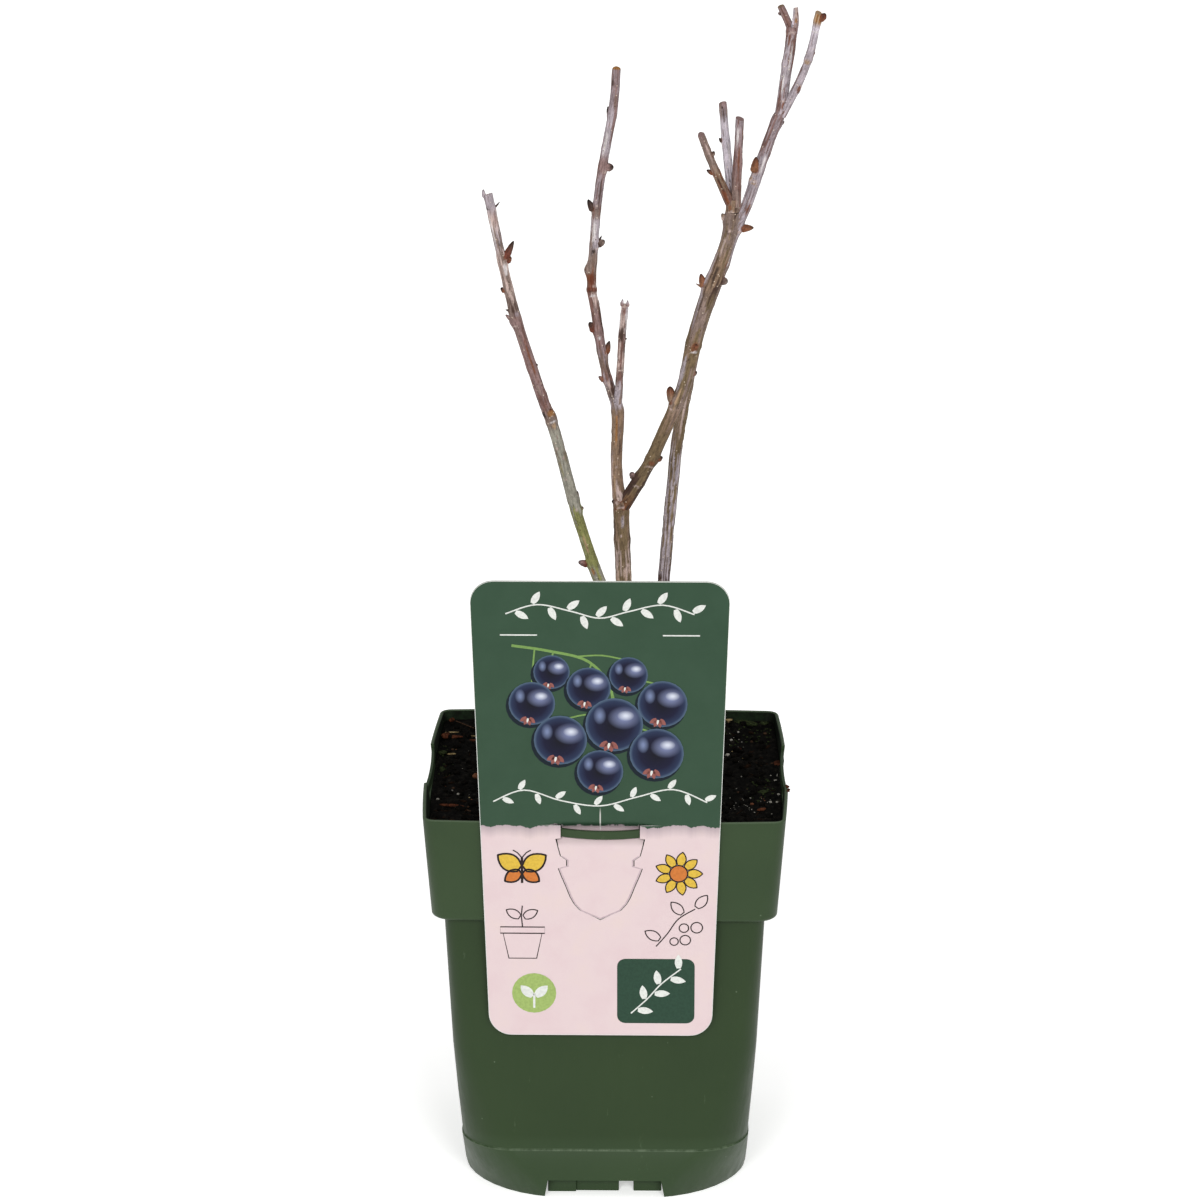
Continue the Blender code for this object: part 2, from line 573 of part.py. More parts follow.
def tube(name, rings, collection, extra=0.0):
    """A round tapering limb as a mesh: a bevelled curve with welded caps.

    With an extra it is that much thicker and longer at both ends, for cutting clearance.
    """
    rings = list(rings)
    if extra:
        (first, first_radius), (last, last_radius) = rings[0], rings[-1]
        rings[0] = (first - (rings[1][0] - first).normalized() * extra, first_radius)
        rings[-1] = (last + (last - rings[-2][0]).normalized() * extra, last_radius)
    curve = bpy.data.curves.new(name, "CURVE")
    curve.dimensions = "3D"
    curve.bevel_depth = MM
    curve.bevel_resolution = LIMB_FACETS
    curve.use_fill_caps = True
    spline = curve.splines.new("POLY")
    spline.points.add(len(rings) - 1)
    for spot, (point, radius) in zip(spline.points, rings):
        spot.co = (*point, 1.0)
        spot.radius = (radius + extra) / MM
    holder = bpy.data.objects.new(name + "_curve", curve)
    collection.objects.link(holder)
    depsgraph = bpy.context.evaluated_depsgraph_get()
    mesh = bpy.data.meshes.new_from_object(holder.evaluated_get(depsgraph))
    bpy.data.objects.remove(holder, do_unlink=True)
    bm = bmesh.new()
    bm.from_mesh(mesh)
    bmesh.ops.remove_doubles(bm, verts=bm.verts, dist=0.005 * MM)
    return add_object(name, bm, collection)


def ring_at(rings, height):
    """The limb's centre, direction and radius at a height."""
    for (low, low_radius), (high, high_radius) in zip(rings, rings[1:]):
        if low.z <= height <= high.z:
            t = (height - low.z) / (high.z - low.z)
            radius = low_radius + (high_radius - low_radius) * t
            return low.lerp(high, t), (high - low).normalized(), radius
    return rings[-1][0], (rings[-1][0] - rings[-2][0]).normalized(), rings[-1][1]


def add_bud(rings, bud, collection, extra=0.0):
    """A pointed bud that leans away from its limb, its foot sunk in the bark.

    With an extra it is that much longer and wider, for cutting clearance.
    """
    height, side, length, width, lean = bud
    length, width = length * MM + extra, width * MM + extra
    centre, along, radius = ring_at(rings, height * MM)
    angle, tilt = math.radians(side), math.radians(lean)
    out = Vector((math.cos(angle), math.sin(angle), 0.0))
    out = (out - along * out.dot(along)).normalized()
    aim = along * math.cos(tilt) + out * math.sin(tilt)
    bm = bmesh.new()
    bmesh.ops.create_uvsphere(bm, u_segments=6, v_segments=5, radius=0.5)
    for vert in bm.verts:
        pinch = 1.0 - BUD_TAPER * max(0.0, vert.co.z * 2)
        vert.co.x *= width * pinch
        vert.co.y *= width * pinch
        vert.co.z = (vert.co.z + 0.5 - BUD_SINK * 0.5) * length
    turn = Vector((0, 0, 1)).rotation_difference(aim)
    bmesh.ops.rotate(bm, cent=(0, 0, 0), matrix=turn.to_matrix(), verts=bm.verts)
    bmesh.ops.translate(bm, vec=centre + out * (radius - 0.1 * MM), verts=bm.verts)
    return add_object("bud", bm, collection)


def limb_rings(limb):
    return swell_nodes(smooth_course(limb["course"]), [bud[0] for bud in limb["buds"]])


def fuse(obj, pieces, clear_of, collection):
    """Join pieces to an object, cut it clear of other limbs and drop the helpers."""
    if pieces.objects:
        boolean(obj, "Fused pieces", pieces, "UNION")
    cutters = []
    for other in clear_of:
        rings = limb_rings(other)
        tools = [tube("clearance", rings, collection, extra=GAP)]
        tools += [add_bud(rings, bud, collection, extra=2 * GAP) for bud in other["buds"]]
        for tool in tools:
            boolean(obj, "Clearance", as_helper(tool), "DIFFERENCE")
        cutters += tools
    apply_modifiers(obj)
    for helper in list(pieces.objects) + cutters:
        bpy.data.objects.remove(helper, do_unlink=True)
    bpy.data.collections.remove(pieces)
    shade_round(obj)


def build_limb(name, limb, collection, material, clear_of=()):
    """One tapering limb with its buds, kept clear of the limbs that carry it."""
    rings = limb_rings(limb)
    obj = tube(name, rings, collection)
    pieces = new_collection(name + " pieces")
    for bud in limb["buds"]:
        as_helper(add_bud(rings, bud, pieces))
    fuse(obj, pieces, clear_of, collection)
    obj.data.materials.append(material)
    return obj


def twig_rings(twig, stem_end, rng):
    """A twig's course from its foot to its tip, bowed sideways and a little bent."""
    foot = Vector(twig["foot"]) * MM
    rise = (Vector(stem_end) + Vector(twig["tip"])) * MM - foot
    bend = Vector((rng.uniform(-TWIG_BEND, TWIG_BEND), rng.uniform(-TWIG_BEND, TWIG_BEND), 0.0))
    swing = (Vector((twig["bow"], 0.0, 0.0)) + bend) * MM
    first, last = twig["radii"]
    rings = []
    for step in range(TWIG_STEPS + 1):
        t = step / TWIG_STEPS
        centre = foot + rise * t + swing * math.sin(math.pi * t)
        rings.append((centre, (first + (last - first) * t) * MM))
    return rings


def build_twigs(name, mass, collection, material, clear_of=()):
    """A bare twig mass: one stem with twigs and buds fused to it by a seeded rule."""
    rng = random.Random(mass["seed"])
    obj = tube(name, smooth_course(mass["stem"]), collection)
    pieces = new_collection(name + " pieces")
    for twig in mass["twigs"]:
        rings = twig_rings(twig, mass["stem"][-1][:3], rng)
        as_helper(tube("twig", rings, pieces))
        low, high = rings[0][0].z / MM, rings[-1][0].z / MM
        for share, side, length, width, lean in twig["buds"]:
            bud = (low + (high - low) * share, side, length, width, lean)
            as_helper(add_bud(rings, bud, pieces))
    fuse(obj, pieces, clear_of, collection)
    obj.data.materials.append(material)
    return obj


def build_bush(collection):
    bark = plain_material("Blackcurrant bark", (0.20, 0.15, 0.12), 0.75)
    young = plain_material("Young blackcurrant twig", (0.26, 0.20, 0.17), 0.7)
    build_limb("main_stem", MAIN_STEM, collection, bark)
    build_limb("left_bough", LEFT_BOUGH, collection, bark, [MAIN_STEM])
    build_limb("centre_bough", CENTRE_BOUGH, collection, bark, [MAIN_STEM])
    build_limb("right_bough", RIGHT_BOUGH, collection, bark, [MAIN_STEM, CENTRE_BOUGH])
    build_limb("back_stem", BACK_STEM, collection, bark)
    build_twigs("torn_twig", TORN_TWIG, collection, young, [CENTRE_BOUGH])
    build_twigs("pruned_head_twigs", PRUNED_HEAD, collection, young, [RIGHT_BOUGH])
    build_twigs("tall_top_twigs", TALL_TOP, collection, young, [BACK_STEM])


def main():
    empty_scene()
    collection = new_collection("Potted blackcurrant bush")
    build_pot(collection)
    build_compost(collection)
    build_card(collection)
    build_bush(collection)


main()
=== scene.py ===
import math
import random

import bmesh
import bpy
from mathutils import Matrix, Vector, noise


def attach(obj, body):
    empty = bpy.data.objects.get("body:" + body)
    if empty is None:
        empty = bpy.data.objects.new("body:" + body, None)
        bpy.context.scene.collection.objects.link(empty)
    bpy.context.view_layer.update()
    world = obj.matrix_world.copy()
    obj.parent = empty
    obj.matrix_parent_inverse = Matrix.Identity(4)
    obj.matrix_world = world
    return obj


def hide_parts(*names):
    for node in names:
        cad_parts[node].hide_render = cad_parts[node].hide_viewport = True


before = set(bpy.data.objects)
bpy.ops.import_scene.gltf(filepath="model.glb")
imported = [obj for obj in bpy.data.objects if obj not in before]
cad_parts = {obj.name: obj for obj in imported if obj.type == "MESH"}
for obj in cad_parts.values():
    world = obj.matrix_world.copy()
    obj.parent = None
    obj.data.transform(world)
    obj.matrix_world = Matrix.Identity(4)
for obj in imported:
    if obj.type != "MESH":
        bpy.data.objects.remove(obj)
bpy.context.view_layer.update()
mm = 0.001


# sRGB hex to the linear colour that shaders take
def hexColour(code):
    parts = [int(code[i:i + 2], 16) / 255 for i in (0, 2, 4)]
    linear = [c / 12.92 if c <= 0.04045 else ((c + 0.055) / 1.055) ** 2.4 for c in parts]
    return (*linear, 1.0)


# adds a shader node, sets it and links it; an input is a value or another socket
def addNode(tree, kind, inputs=None, stops=None, **settings):
    node = tree.nodes.new("ShaderNode" + kind)
    for name, value in settings.items():
        setattr(node, name, value)
    if stops:
        while len(node.color_ramp.elements) < len(stops):
            node.color_ramp.elements.new(0.5)
        for element, (place, colour) in zip(node.color_ramp.elements, stops):
            element.position = place
            element.color = colour
    for key, value in (inputs or {}).items():
        if isinstance(value, bpy.types.NodeSocket):
            tree.links.new(value, node.inputs[key])
        else:
            node.inputs[key].default_value = value
    return node


def newMaterial(name, **values):
    material = bpy.data.materials.new(name)
    material.use_nodes = True
    shader = material.node_tree.nodes["Principled BSDF"]
    for key, value in values.items():
        shader.inputs[key.replace("_", " ")].default_value = value
    return material, material.node_tree, shader


# camera at the photograph's viewing angle, in millimetres
camera = {
    "place": (22.7, -1534.5, 667.1),
    "aim": (-2.5, 0.0, 214.5),
    "lens": 130.9,                 # on a 36 mm wide sensor
}


def placeCamera():
    data = bpy.data.cameras.new("camera")
    data.lens = camera["lens"]
    data.sensor_width = 36.0
    data.clip_end = 50.0
    holder = bpy.data.objects.new("camera", data)
    bpy.context.scene.collection.objects.link(holder)
    place, aim = Vector(camera["place"]) * mm, Vector(camera["aim"]) * mm
    holder.location = place
    holder.rotation_euler = (aim - place).to_track_quat("-Z", "Y").to_euler()
    bpy.context.scene.camera = holder


studio = {
    "floorSize": 14.0,
    "floorColour": "FDFDFC",
    "floorGlow": 0.45,             # lifts the paper sweep to clean white
    "skyStrength": 0.29,
    "suns": [
        # name, turn to the right of the camera, height, softness (degrees), strength
        ("leftSun", -15.0, 27.0, 16.0, 1.13),
        ("rightSun", 16.0, 27.0, 16.0, 1.15),
        ("topSun", 10.0, 78.0, 60.0, 0.7),
    ],
}


def setStudio():
    bpy.context.scene.view_settings.view_transform = "Standard"
    material, tree, shader = newMaterial("Matt paper sweep", Roughness=0.9)
    shader.inputs["Base Color"].default_value = hexColour(studio["floorColour"])
    shader.inputs["Emission Color"].default_value = (1.0, 1.0, 1.0, 1.0)
    shader.inputs["Emission Strength"].default_value = studio["floorGlow"]
    shader.inputs["Specular IOR Level"].default_value = 0.2
    bm = bmesh.new()
    bmesh.ops.create_grid(bm, x_segments=1, y_segments=1, size=studio["floorSize"] / 2)
    mesh = bpy.data.meshes.new("studioFloor")
    bm.to_mesh(mesh)
    bm.free()
    mesh.materials.append(material)
    floor = bpy.data.objects.new("studioFloor", mesh)
    bpy.context.scene.collection.objects.link(floor)
    world = bpy.data.worlds.new("studio")
    world.use_nodes = True
    background = world.node_tree.nodes["Background"]
    background.inputs["Color"].default_value = (1.0, 1.0, 1.0, 1.0)
    background.inputs["Strength"].default_value = studio["skyStrength"]
    bpy.context.scene.world = world
    for name, turn, height, softness, strength in studio["suns"]:
        data = bpy.data.lights.new(name, "SUN")
        data.angle = math.radians(softness)
        data.energy = strength
        lamp = bpy.data.objects.new(name, data)
        bpy.context.scene.collection.objects.link(lamp)
        turn, height = math.radians(turn), math.radians(height)
        towards = Vector((math.sin(turn) * math.cos(height), -math.cos(turn) * math.cos(height),
                          math.sin(height)))
        lamp.rotation_euler = towards.to_track_quat("Z", "Y").to_euler()


# turns a bmesh into a piece of the object that rides on the root body
def finishPiece(name, bm, materials, nodes=(), smoothAngle=40, outward=True):
    if outward:
        bmesh.ops.recalc_face_normals(bm, faces=bm.faces)
    mesh = bpy.data.meshes.new(name)
    bm.to_mesh(mesh)
    bm.free()
    for material in materials:
        mesh.materials.append(material)
    mesh.shade_smooth()
    mesh.set_sharp_from_angle(angle=math.radians(smoothAngle))
    piece = bpy.data.objects.new(name, mesh)
    bpy.context.scene.collection.objects.link(piece)
    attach(piece, "root")
    if nodes:
        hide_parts(*nodes)
    return piece


# extrudes a closed loop of vertices to new places, in the same order
def extrudeLoop(bm, loop, places):
    edges = [bm.edges.get((loop[i - 1], loop[i])) for i in range(len(loop))]
    made = bmesh.ops.extrude_edge_only(bm, edges=edges)["geom"]
    fresh = {part for part in made if isinstance(part, bmesh.types.BMVert)}
    grown = []
    for vert, place in zip(loop, places):
        twin = next(e.other_vert(vert) for e in vert.link_edges if e.other_vert(vert) in fresh)
        twin.co = place
        grown.append(twin)
    return grown


# sweeps a circle through a row of loops; gives the vertices of every loop
def skinLoops(bm, loops, capStart=True, capEnd=True):
    loop = bmesh.ops.create_circle(bm, segments=len(loops[0]), radius=mm)["verts"]
    for vert, place in zip(loop, loops[0]):
        vert.co = place
    rows = [loop]
    for places in loops[1:]:
        loop = extrudeLoop(bm, loop, places)
        rows.append(loop)
    if capStart:
        bm.faces.new(rows[0])
    if capEnd:
        bm.faces.new(rows[-1])
    return rows


# puts one bmesh into another and frees it
def joinInto(bm, part):
    scrap = bpy.data.meshes.new("scrap")
    part.to_mesh(scrap)
    part.free()
    bm.from_mesh(scrap)
    bpy.data.meshes.remove(scrap)


# how far a value has gone from one number to another, eased at both ends
def eased(value, start, end):
    share = min(1.0, max(0.0, (value - start) / (end - start)))
    return share * share * (3 - 2 * share)


# the pot, in millimetres
pot = {
    "height": 151.3, "rimHalf": 65.0, "wall": 1.3, "bulge": 1.9, "rimEdge": 0.35,
    "collarFoot": 112.0, "collarHalf": 62.4, "collarFillet": 2.0, "collarRing": 138.0,
    "bodyTop": 58.0, "bodyLowAt": 39.0, "bodyLow": 54.3, "bodyMidAt": 60.0, "bodyMid": 55.6,
    "stepAt": 19.2, "stepHalf": 53.3, "stepDepth": 0.35,
    "footHalf": 52.8, "floorUnder": 8.0,
    "cornerRim": 4.6, "cornerCollar": 6.6, "cornerTop": 5.5, "cornerLow": 14.0,
    "cornerMid": 9.0, "cornerStep": 20.0, "cornerFoot": 39.5,
    "strapDrop": 1.7, "strapTall": 3.1, "strapLong": 46.0, "strapRoot": 1.5, "strapSkin": 0.1,
    "bows": (0.5, -1.0, 0.0, -1.0),      # how far each side's strap is out: front, right, back, left
    "sag": 1.4, "sagReach": 18.0,        # the front strap hangs down under the card
    "slitTall": 3.5, "slitLong": 38.0,
    "notchTop": 41.7, "notchFoot": 44.5, "notchTall": 7.0,
    "footWalls": ((-21.0, -10.5, 47.3), (-10.6, 5.3, 46.3), (10.6, 21.0, 46.3)),
    "padRadius": 12.0, "drainRadius": 5.0, "drainOut": 27.0,
    "cornerSteps": 10, "sideSteps": 16,
}


def quarterTurned(place, turns):
    x, y, z = place
    for _ in range(turns):
        x, y = -y, x
    return Vector((x, y, z))


# a rounded square whose sides bow out, in metres, from sizes in millimetres
def squareLoop(height, half, corner, bulge=0.0, sideSteps=pot["sideSteps"]):
    straight = half - corner
    places = []
    for side in range(4):
        for step in range(1, sideSteps):
            x = -straight + 2 * straight * step / sideSteps
            y = -half - bulge * (1 - (x / straight) ** 2)
            places.append(quarterTurned((x, y, height), side) * mm)
        for step in range(pot["cornerSteps"] + 1):
            angle = -math.pi / 2 + math.pi / 2 * step / pot["cornerSteps"]
            x = straight + corner * math.cos(angle)
            y = -straight + corner * math.sin(angle)
            places.append(quarterTurned((x, y, height), side) * mm)
    return places


# half width, corner radius and bow of the collar's outside at a height
def collarSize(height):
    share = (height - pot["collarFoot"]) / (pot["height"] - pot["collarFoot"])
    return (pot["collarHalf"] + (pot["rimHalf"] - pot["collarHalf"]) * share,
            pot["cornerCollar"] + (pot["cornerRim"] - pot["cornerCollar"]) * share,
            pot["bulge"] * (0.4 + 0.6 * share))


def collarOut(height, x):
    half, corner, bulge = collarSize(height)
    return half + bulge * (1 - (x / (half - corner)) ** 2)


def footBand(height):
    share = height / pot["stepAt"]
    half = pot["footHalf"] + (pot["stepHalf"] - pot["footHalf"]) * share
    corner = pot["cornerFoot"] + (pot["cornerStep"] - pot["cornerFoot"]) * share
    return half, corner


# loops up the pot's inside wall to under its slits; the compost uses them with an inset
def insideLoops(inset, sideSteps=pot["sideSteps"]):
    drop = pot["wall"] + inset
    floor = pot["floorUnder"] + drop
    floorHalf, floorCorner = footBand(floor)
    shelf = pot["collarFoot"] + pot["wall"] + inset
    lowBulge = pot["bulge"] * 0.4
    collarIn, collarCorner = pot["collarHalf"] - drop, pot["cornerCollar"] - drop
    ringHalf, ringCorner, ringBulge = collarSize(pot["collarRing"])
    rows = [
        (floor, floorHalf - drop - pot["wall"], floorCorner - drop - pot["wall"], 0.0),
        (floor + pot["wall"], floorHalf - drop, floorCorner - drop, 0.0),
        (pot["stepAt"], pot["stepHalf"] - pot["stepDepth"] - drop, pot["cornerStep"] - drop, 0.0),
        (pot["bodyLowAt"], pot["bodyLow"] - drop, pot["cornerLow"] - drop, 0.0),
        (pot["bodyMidAt"], pot["bodyMid"] - drop, pot["cornerMid"] - drop, 0.0),
        (shelf, pot["bodyTop"] - drop, pot["cornerTop"] - drop, 0.0),
        (shelf, collarIn - pot["collarFillet"], collarCorner, lowBulge),
        (shelf + pot["collarFillet"], collarIn, collarCorner, lowBulge),
        (pot["collarRing"], ringHalf - drop, ringCorner - drop, ringBulge),
    ]
    return [squareLoop(*row, sideSteps) for row in rows]


def potPlastic():
    # injection moulded polypropylene: a satin skin with faint flow marks, pale scuffs and specks,
    # painted highlights where the rim's top and the step line catch the light, and painted shade on the body under
    # the collar
    material, tree, shader = newMaterial("Moulded polypropylene, dark green", Roughness=0.45)
    shader.inputs["IOR"].default_value = 1.49
    shader.inputs["Specular IOR Level"].default_value = 0.24
    where = addNode(tree, "TexCoord").outputs["Object"]
    axes = addNode(tree, "SeparateXYZ", {"Vector": where})
    clouds = addNode(tree, "TexNoise", {"Vector": where, "Scale": 1 / (34 * mm), "Detail": 4.0})
    upper = addNode(tree, "ValToRGB", {"Fac": clouds.outputs["Fac"]}, stops=[
        (0.3, hexColour("27391F")), (0.7, hexColour("2B3D22"))])
    shadedBodyTone = addNode(tree, "ValToRGB", {"Fac": clouds.outputs["Fac"]}, stops=[
        (0.3, hexColour("203216")), (0.7, hexColour("233518"))])
    # the body between the collar and the foot band is painted darker than both: painted shade under the collar
    underCollar = addNode(tree, "MapRange", {"Value": axes.outputs["Z"],
                                             "From Min": (pot["collarFoot"] - 1) * mm,
                                             "From Max": pot["collarFoot"] * mm})
    atFoot = addNode(tree, "MapRange", {"Value": axes.outputs["Z"],
                                        "From Min": pot["stepAt"] * mm,
                                        "From Max": (pot["stepAt"] + 6) * mm,
                                        "To Min": 1.0, "To Max": 0.0})
    share = addNode(tree, "Math", {0: underCollar.outputs[0], 1: atFoot.outputs[0]},
                    operation="MAXIMUM")
    body = addNode(tree, "Mix", {0: share.outputs[0], 6: shadedBodyTone.outputs["Color"],
                                 7: upper.outputs["Color"]}, data_type="RGBA")
    stretch = addNode(tree, "Mapping", {"Vector": where, "Scale": (1.0, 1.0, 0.2)})
    scuffs = addNode(tree, "TexNoise", {"Vector": stretch.outputs["Vector"], "Scale": 1 / (4.0 * mm),
                                        "Detail": 7.0, "Roughness": 0.72})
    paleMarks = addNode(tree, "ValToRGB", {"Fac": scuffs.outputs["Fac"]}, stops=[
        (0.64, (0, 0, 0, 1)), (0.8, (0.5, 0.5, 0.5, 1))])
    specks = addNode(tree, "TexVoronoi", {"Vector": where, "Scale": 1 / (9.0 * mm)})
    speck = addNode(tree, "MapRange", {"Value": specks.outputs["Distance"], "From Min": 0.022,
                                       "From Max": 0.04, "To Min": 0.5, "To Max": 0.0})
    # the moulded line round the foot and the rim's top are painted paler: a painted highlight where these edges catch
    # the light, broken up along the step line
    stepHigh = addNode(tree, "MapRange", {"Value": axes.outputs["Z"], "From Min": pot["stepAt"] * mm,
                                          "From Max": (pot["stepAt"] + 0.7) * mm,
                                          "To Min": 1.0, "To Max": 0.0})
    stepLow = addNode(tree, "MapRange", {"Value": axes.outputs["Z"],
                                         "From Min": (pot["stepAt"] - 0.5) * mm,
                                         "From Max": pot["stepAt"] * mm})
    stepLine = addNode(tree, "Math", {0: stepHigh.outputs[0], 1: stepLow.outputs[0]},
                       operation="MULTIPLY")
    broken = addNode(tree, "MapRange", {"Value": scuffs.outputs["Fac"], "From Min": 0.4,
                                        "From Max": 0.6, "To Min": 0.1, "To Max": 0.75})
    stepHighlight = addNode(tree, "Math", {0: stepLine.outputs[0], 1: broken.outputs[0]},
                       operation="MULTIPLY")
    rimHighlight = addNode(tree, "MapRange", {"Value": axes.outputs["Z"],
                                         "From Min": (pot["height"] - 0.5) * mm,
                                         "From Max": (pot["height"] - 0.1) * mm,
                                         "To Min": 0.0, "To Max": 0.35})
    wearAndHighlight = stepHighlight
    for other in (paleMarks.outputs["Color"], speck.outputs[0], rimHighlight.outputs[0]):
        wearAndHighlight = addNode(tree, "Math", {0: wearAndHighlight.outputs[0], 1: other}, operation="MAXIMUM")
    # pale scuffs and specks are wear; the step and rim lines mixed in here are painted highlight
    colour = addNode(tree, "Mix", {0: wearAndHighlight.outputs[0], 6: body.outputs[2],
                                   7: hexColour("64735C")}, data_type="RGBA")
    tree.links.new(colour.outputs[2], shader.inputs["Base Color"])
    sheen = addNode(tree, "MapRange", {"Value": scuffs.outputs["Fac"], "From Min": 0.3, "From Max": 0.7,
                                       "To Min": 0.38, "To Max": 0.55})
    tree.links.new(sheen.outputs["Result"], shader.inputs["Roughness"])
    grain = addNode(tree, "TexNoise", {"Vector": where, "Scale": 1 / (0.9 * mm), "Detail": 3.0})
    bump = addNode(tree, "Bump", {"Height": grain.outputs["Fac"], "Distance": 0.03 * mm, "Strength": 0.5})
    tree.links.new(bump.outputs["Normal"], shader.inputs["Normal"])
    return material


def insideShadePlastic():
    # the same plastic inside the pot, painted nearly black-green with a mottle like damp compost and moss: painted
    # shade inside the pot
    material, tree, shader = newMaterial("Polypropylene inside the pot, painted shade", Roughness=0.7)
    shader.inputs["Specular IOR Level"].default_value = 0.1
    where = addNode(tree, "TexCoord").outputs["Object"]
    shadeMottle = addNode(tree, "TexNoise", {"Vector": where, "Scale": 1 / (6 * mm), "Detail": 7.0,
                                      "Roughness": 0.7})
    colour = addNode(tree, "ValToRGB", {"Fac": shadeMottle.outputs["Fac"]}, stops=[
        (0.36, hexColour("0B0A07")), (0.52, hexColour("131C10")), (0.62, hexColour("1B2A18")),
        (0.76, hexColour("232A17"))])
    tree.links.new(colour.outputs["Color"], shader.inputs["Base Color"])
    return material


# takes closed shapes out of a piece and deletes them
def cutWith(piece, cutters):
    for cutter in cutters:
        modifier = piece.modifiers.new("cut", "BOOLEAN")
        modifier.operation = "DIFFERENCE"
        modifier.object = cutter
    depsgraph = bpy.context.evaluated_depsgraph_get()
    mesh = bpy.data.meshes.new_from_object(piece.evaluated_get(depsgraph))
    piece.modifiers.clear()
    piece.data = mesh
    for cutter in cutters:
        bpy.data.objects.remove(cutter, do_unlink=True)


def cutterFrom(bm):
    bmesh.ops.recalc_face_normals(bm, faces=bm.faces)
    mesh = bpy.data.meshes.new("cutter")
    bm.to_mesh(mesh)
    bm.free()
    cutter = bpy.data.objects.new("cutter", mesh)
    bpy.context.scene.collection.objects.link(cutter)
    return cutter


# a box on one side of the pot, in millimetres; foot widens its lower edge
def sideBox(xLow, xHigh, outLow, outHigh, zLow, zHigh, side, foot=0.0):
    bm = bmesh.new()
    bmesh.ops.create_cube(bm, size=1.0)
    for vert in bm.verts:
        x = xHigh if vert.co.x > 0 else xLow
        z = zHigh if vert.co.z > 0 else zLow
        out = outLow if vert.co.y > 0 else outHigh
        widen = math.copysign(foot, x) if vert.co.z < 0 else 0.0
        vert.co = quarterTurned((x + widen, -out, z), side) * mm
    return bm


# a bar across a rim notch that bows out or in, and sags under the card
def strapShape(bm, side, bow, sag):
    reach = pot["strapLong"] / 2 + pot["strapRoot"]
    skin, rounding, steps = pot["strapSkin"], 0.25, 44
    loops = []
    for step in range(steps + 1):
        x = -reach + 2 * reach * step / steps
        push = bow * max(0.0, 1 - (2 * x / pot["strapLong"]) ** 2)
        top = pot["height"] - pot["strapDrop"] - sag * max(0.0, 1 - (x / pot["sagReach"]) ** 2)
        low = top - pot["strapTall"] - skin
        section = ((low, skin + rounding), (low + rounding, skin), (top - rounding, skin),
                   (top, skin + rounding), (top, pot["wall"] - skin), (low, pot["wall"] - skin))
        loops.append([quarterTurned((x, -(collarOut(z, x) + push - d), z), side) * mm
                      for z, d in section])
    skinLoops(bm, loops)


def potShell():
    underHalf, underCorner = footBand(pot["floorUnder"])
    wall, fillet, edge = pot["wall"], pot["collarFillet"], pot["rimEdge"]
    loops = [
        squareLoop(pot["floorUnder"], underHalf - wall, underCorner - wall),
        squareLoop(0.0, pot["footHalf"] - wall, pot["cornerFoot"] - wall),
        squareLoop(0.0, pot["footHalf"] - 0.3, pot["cornerFoot"] - 0.3),
        squareLoop(0.3, pot["footHalf"], pot["cornerFoot"]),
        squareLoop(pot["stepAt"] - 0.15, pot["stepHalf"], pot["cornerStep"]),
        squareLoop(pot["stepAt"], pot["stepHalf"] - 0.1, pot["cornerStep"]),
        squareLoop(pot["stepAt"] + 0.15, pot["stepHalf"] - pot["stepDepth"], pot["cornerStep"]),
        squareLoop(pot["bodyLowAt"], pot["bodyLow"], pot["cornerLow"]),
        squareLoop(pot["bodyMidAt"], pot["bodyMid"], pot["cornerMid"]),
        squareLoop(pot["collarFoot"], pot["bodyTop"], pot["cornerTop"]),
    ]
    for step in range(6):
        angle = math.pi / 2 * step / 5
        loops.append(squareLoop(pot["collarFoot"] + fillet * (1 - math.cos(angle)),
                                pot["collarHalf"] - fillet * (1 - math.sin(angle)),
                                pot["cornerCollar"], pot["bulge"] * 0.4))
    loops += [
        squareLoop(pot["collarRing"], *collarSize(pot["collarRing"])),
        squareLoop(pot["height"] - edge, pot["rimHalf"], pot["cornerRim"], pot["bulge"]),
        squareLoop(pot["height"], pot["rimHalf"] - edge, pot["cornerRim"] - edge, pot["bulge"]),
        squareLoop(pot["height"], pot["rimHalf"] - wall + edge, pot["cornerRim"] - wall + edge,
                   pot["bulge"]),
        squareLoop(pot["height"] - edge, pot["rimHalf"] - wall, pot["cornerRim"] - wall, pot["bulge"]),
    ]
    bm = bmesh.new()
    rows = skinLoops(bm, loops + insideLoops(0.0)[::-1])
    # the inside wall's faces take the second material, painted shade
    inside = {vert for row in rows[len(loops) - 1:] for vert in row}
    for face in bm.faces:
        if inside.issuperset(face.verts):
            face.material_index = 1
    return bm


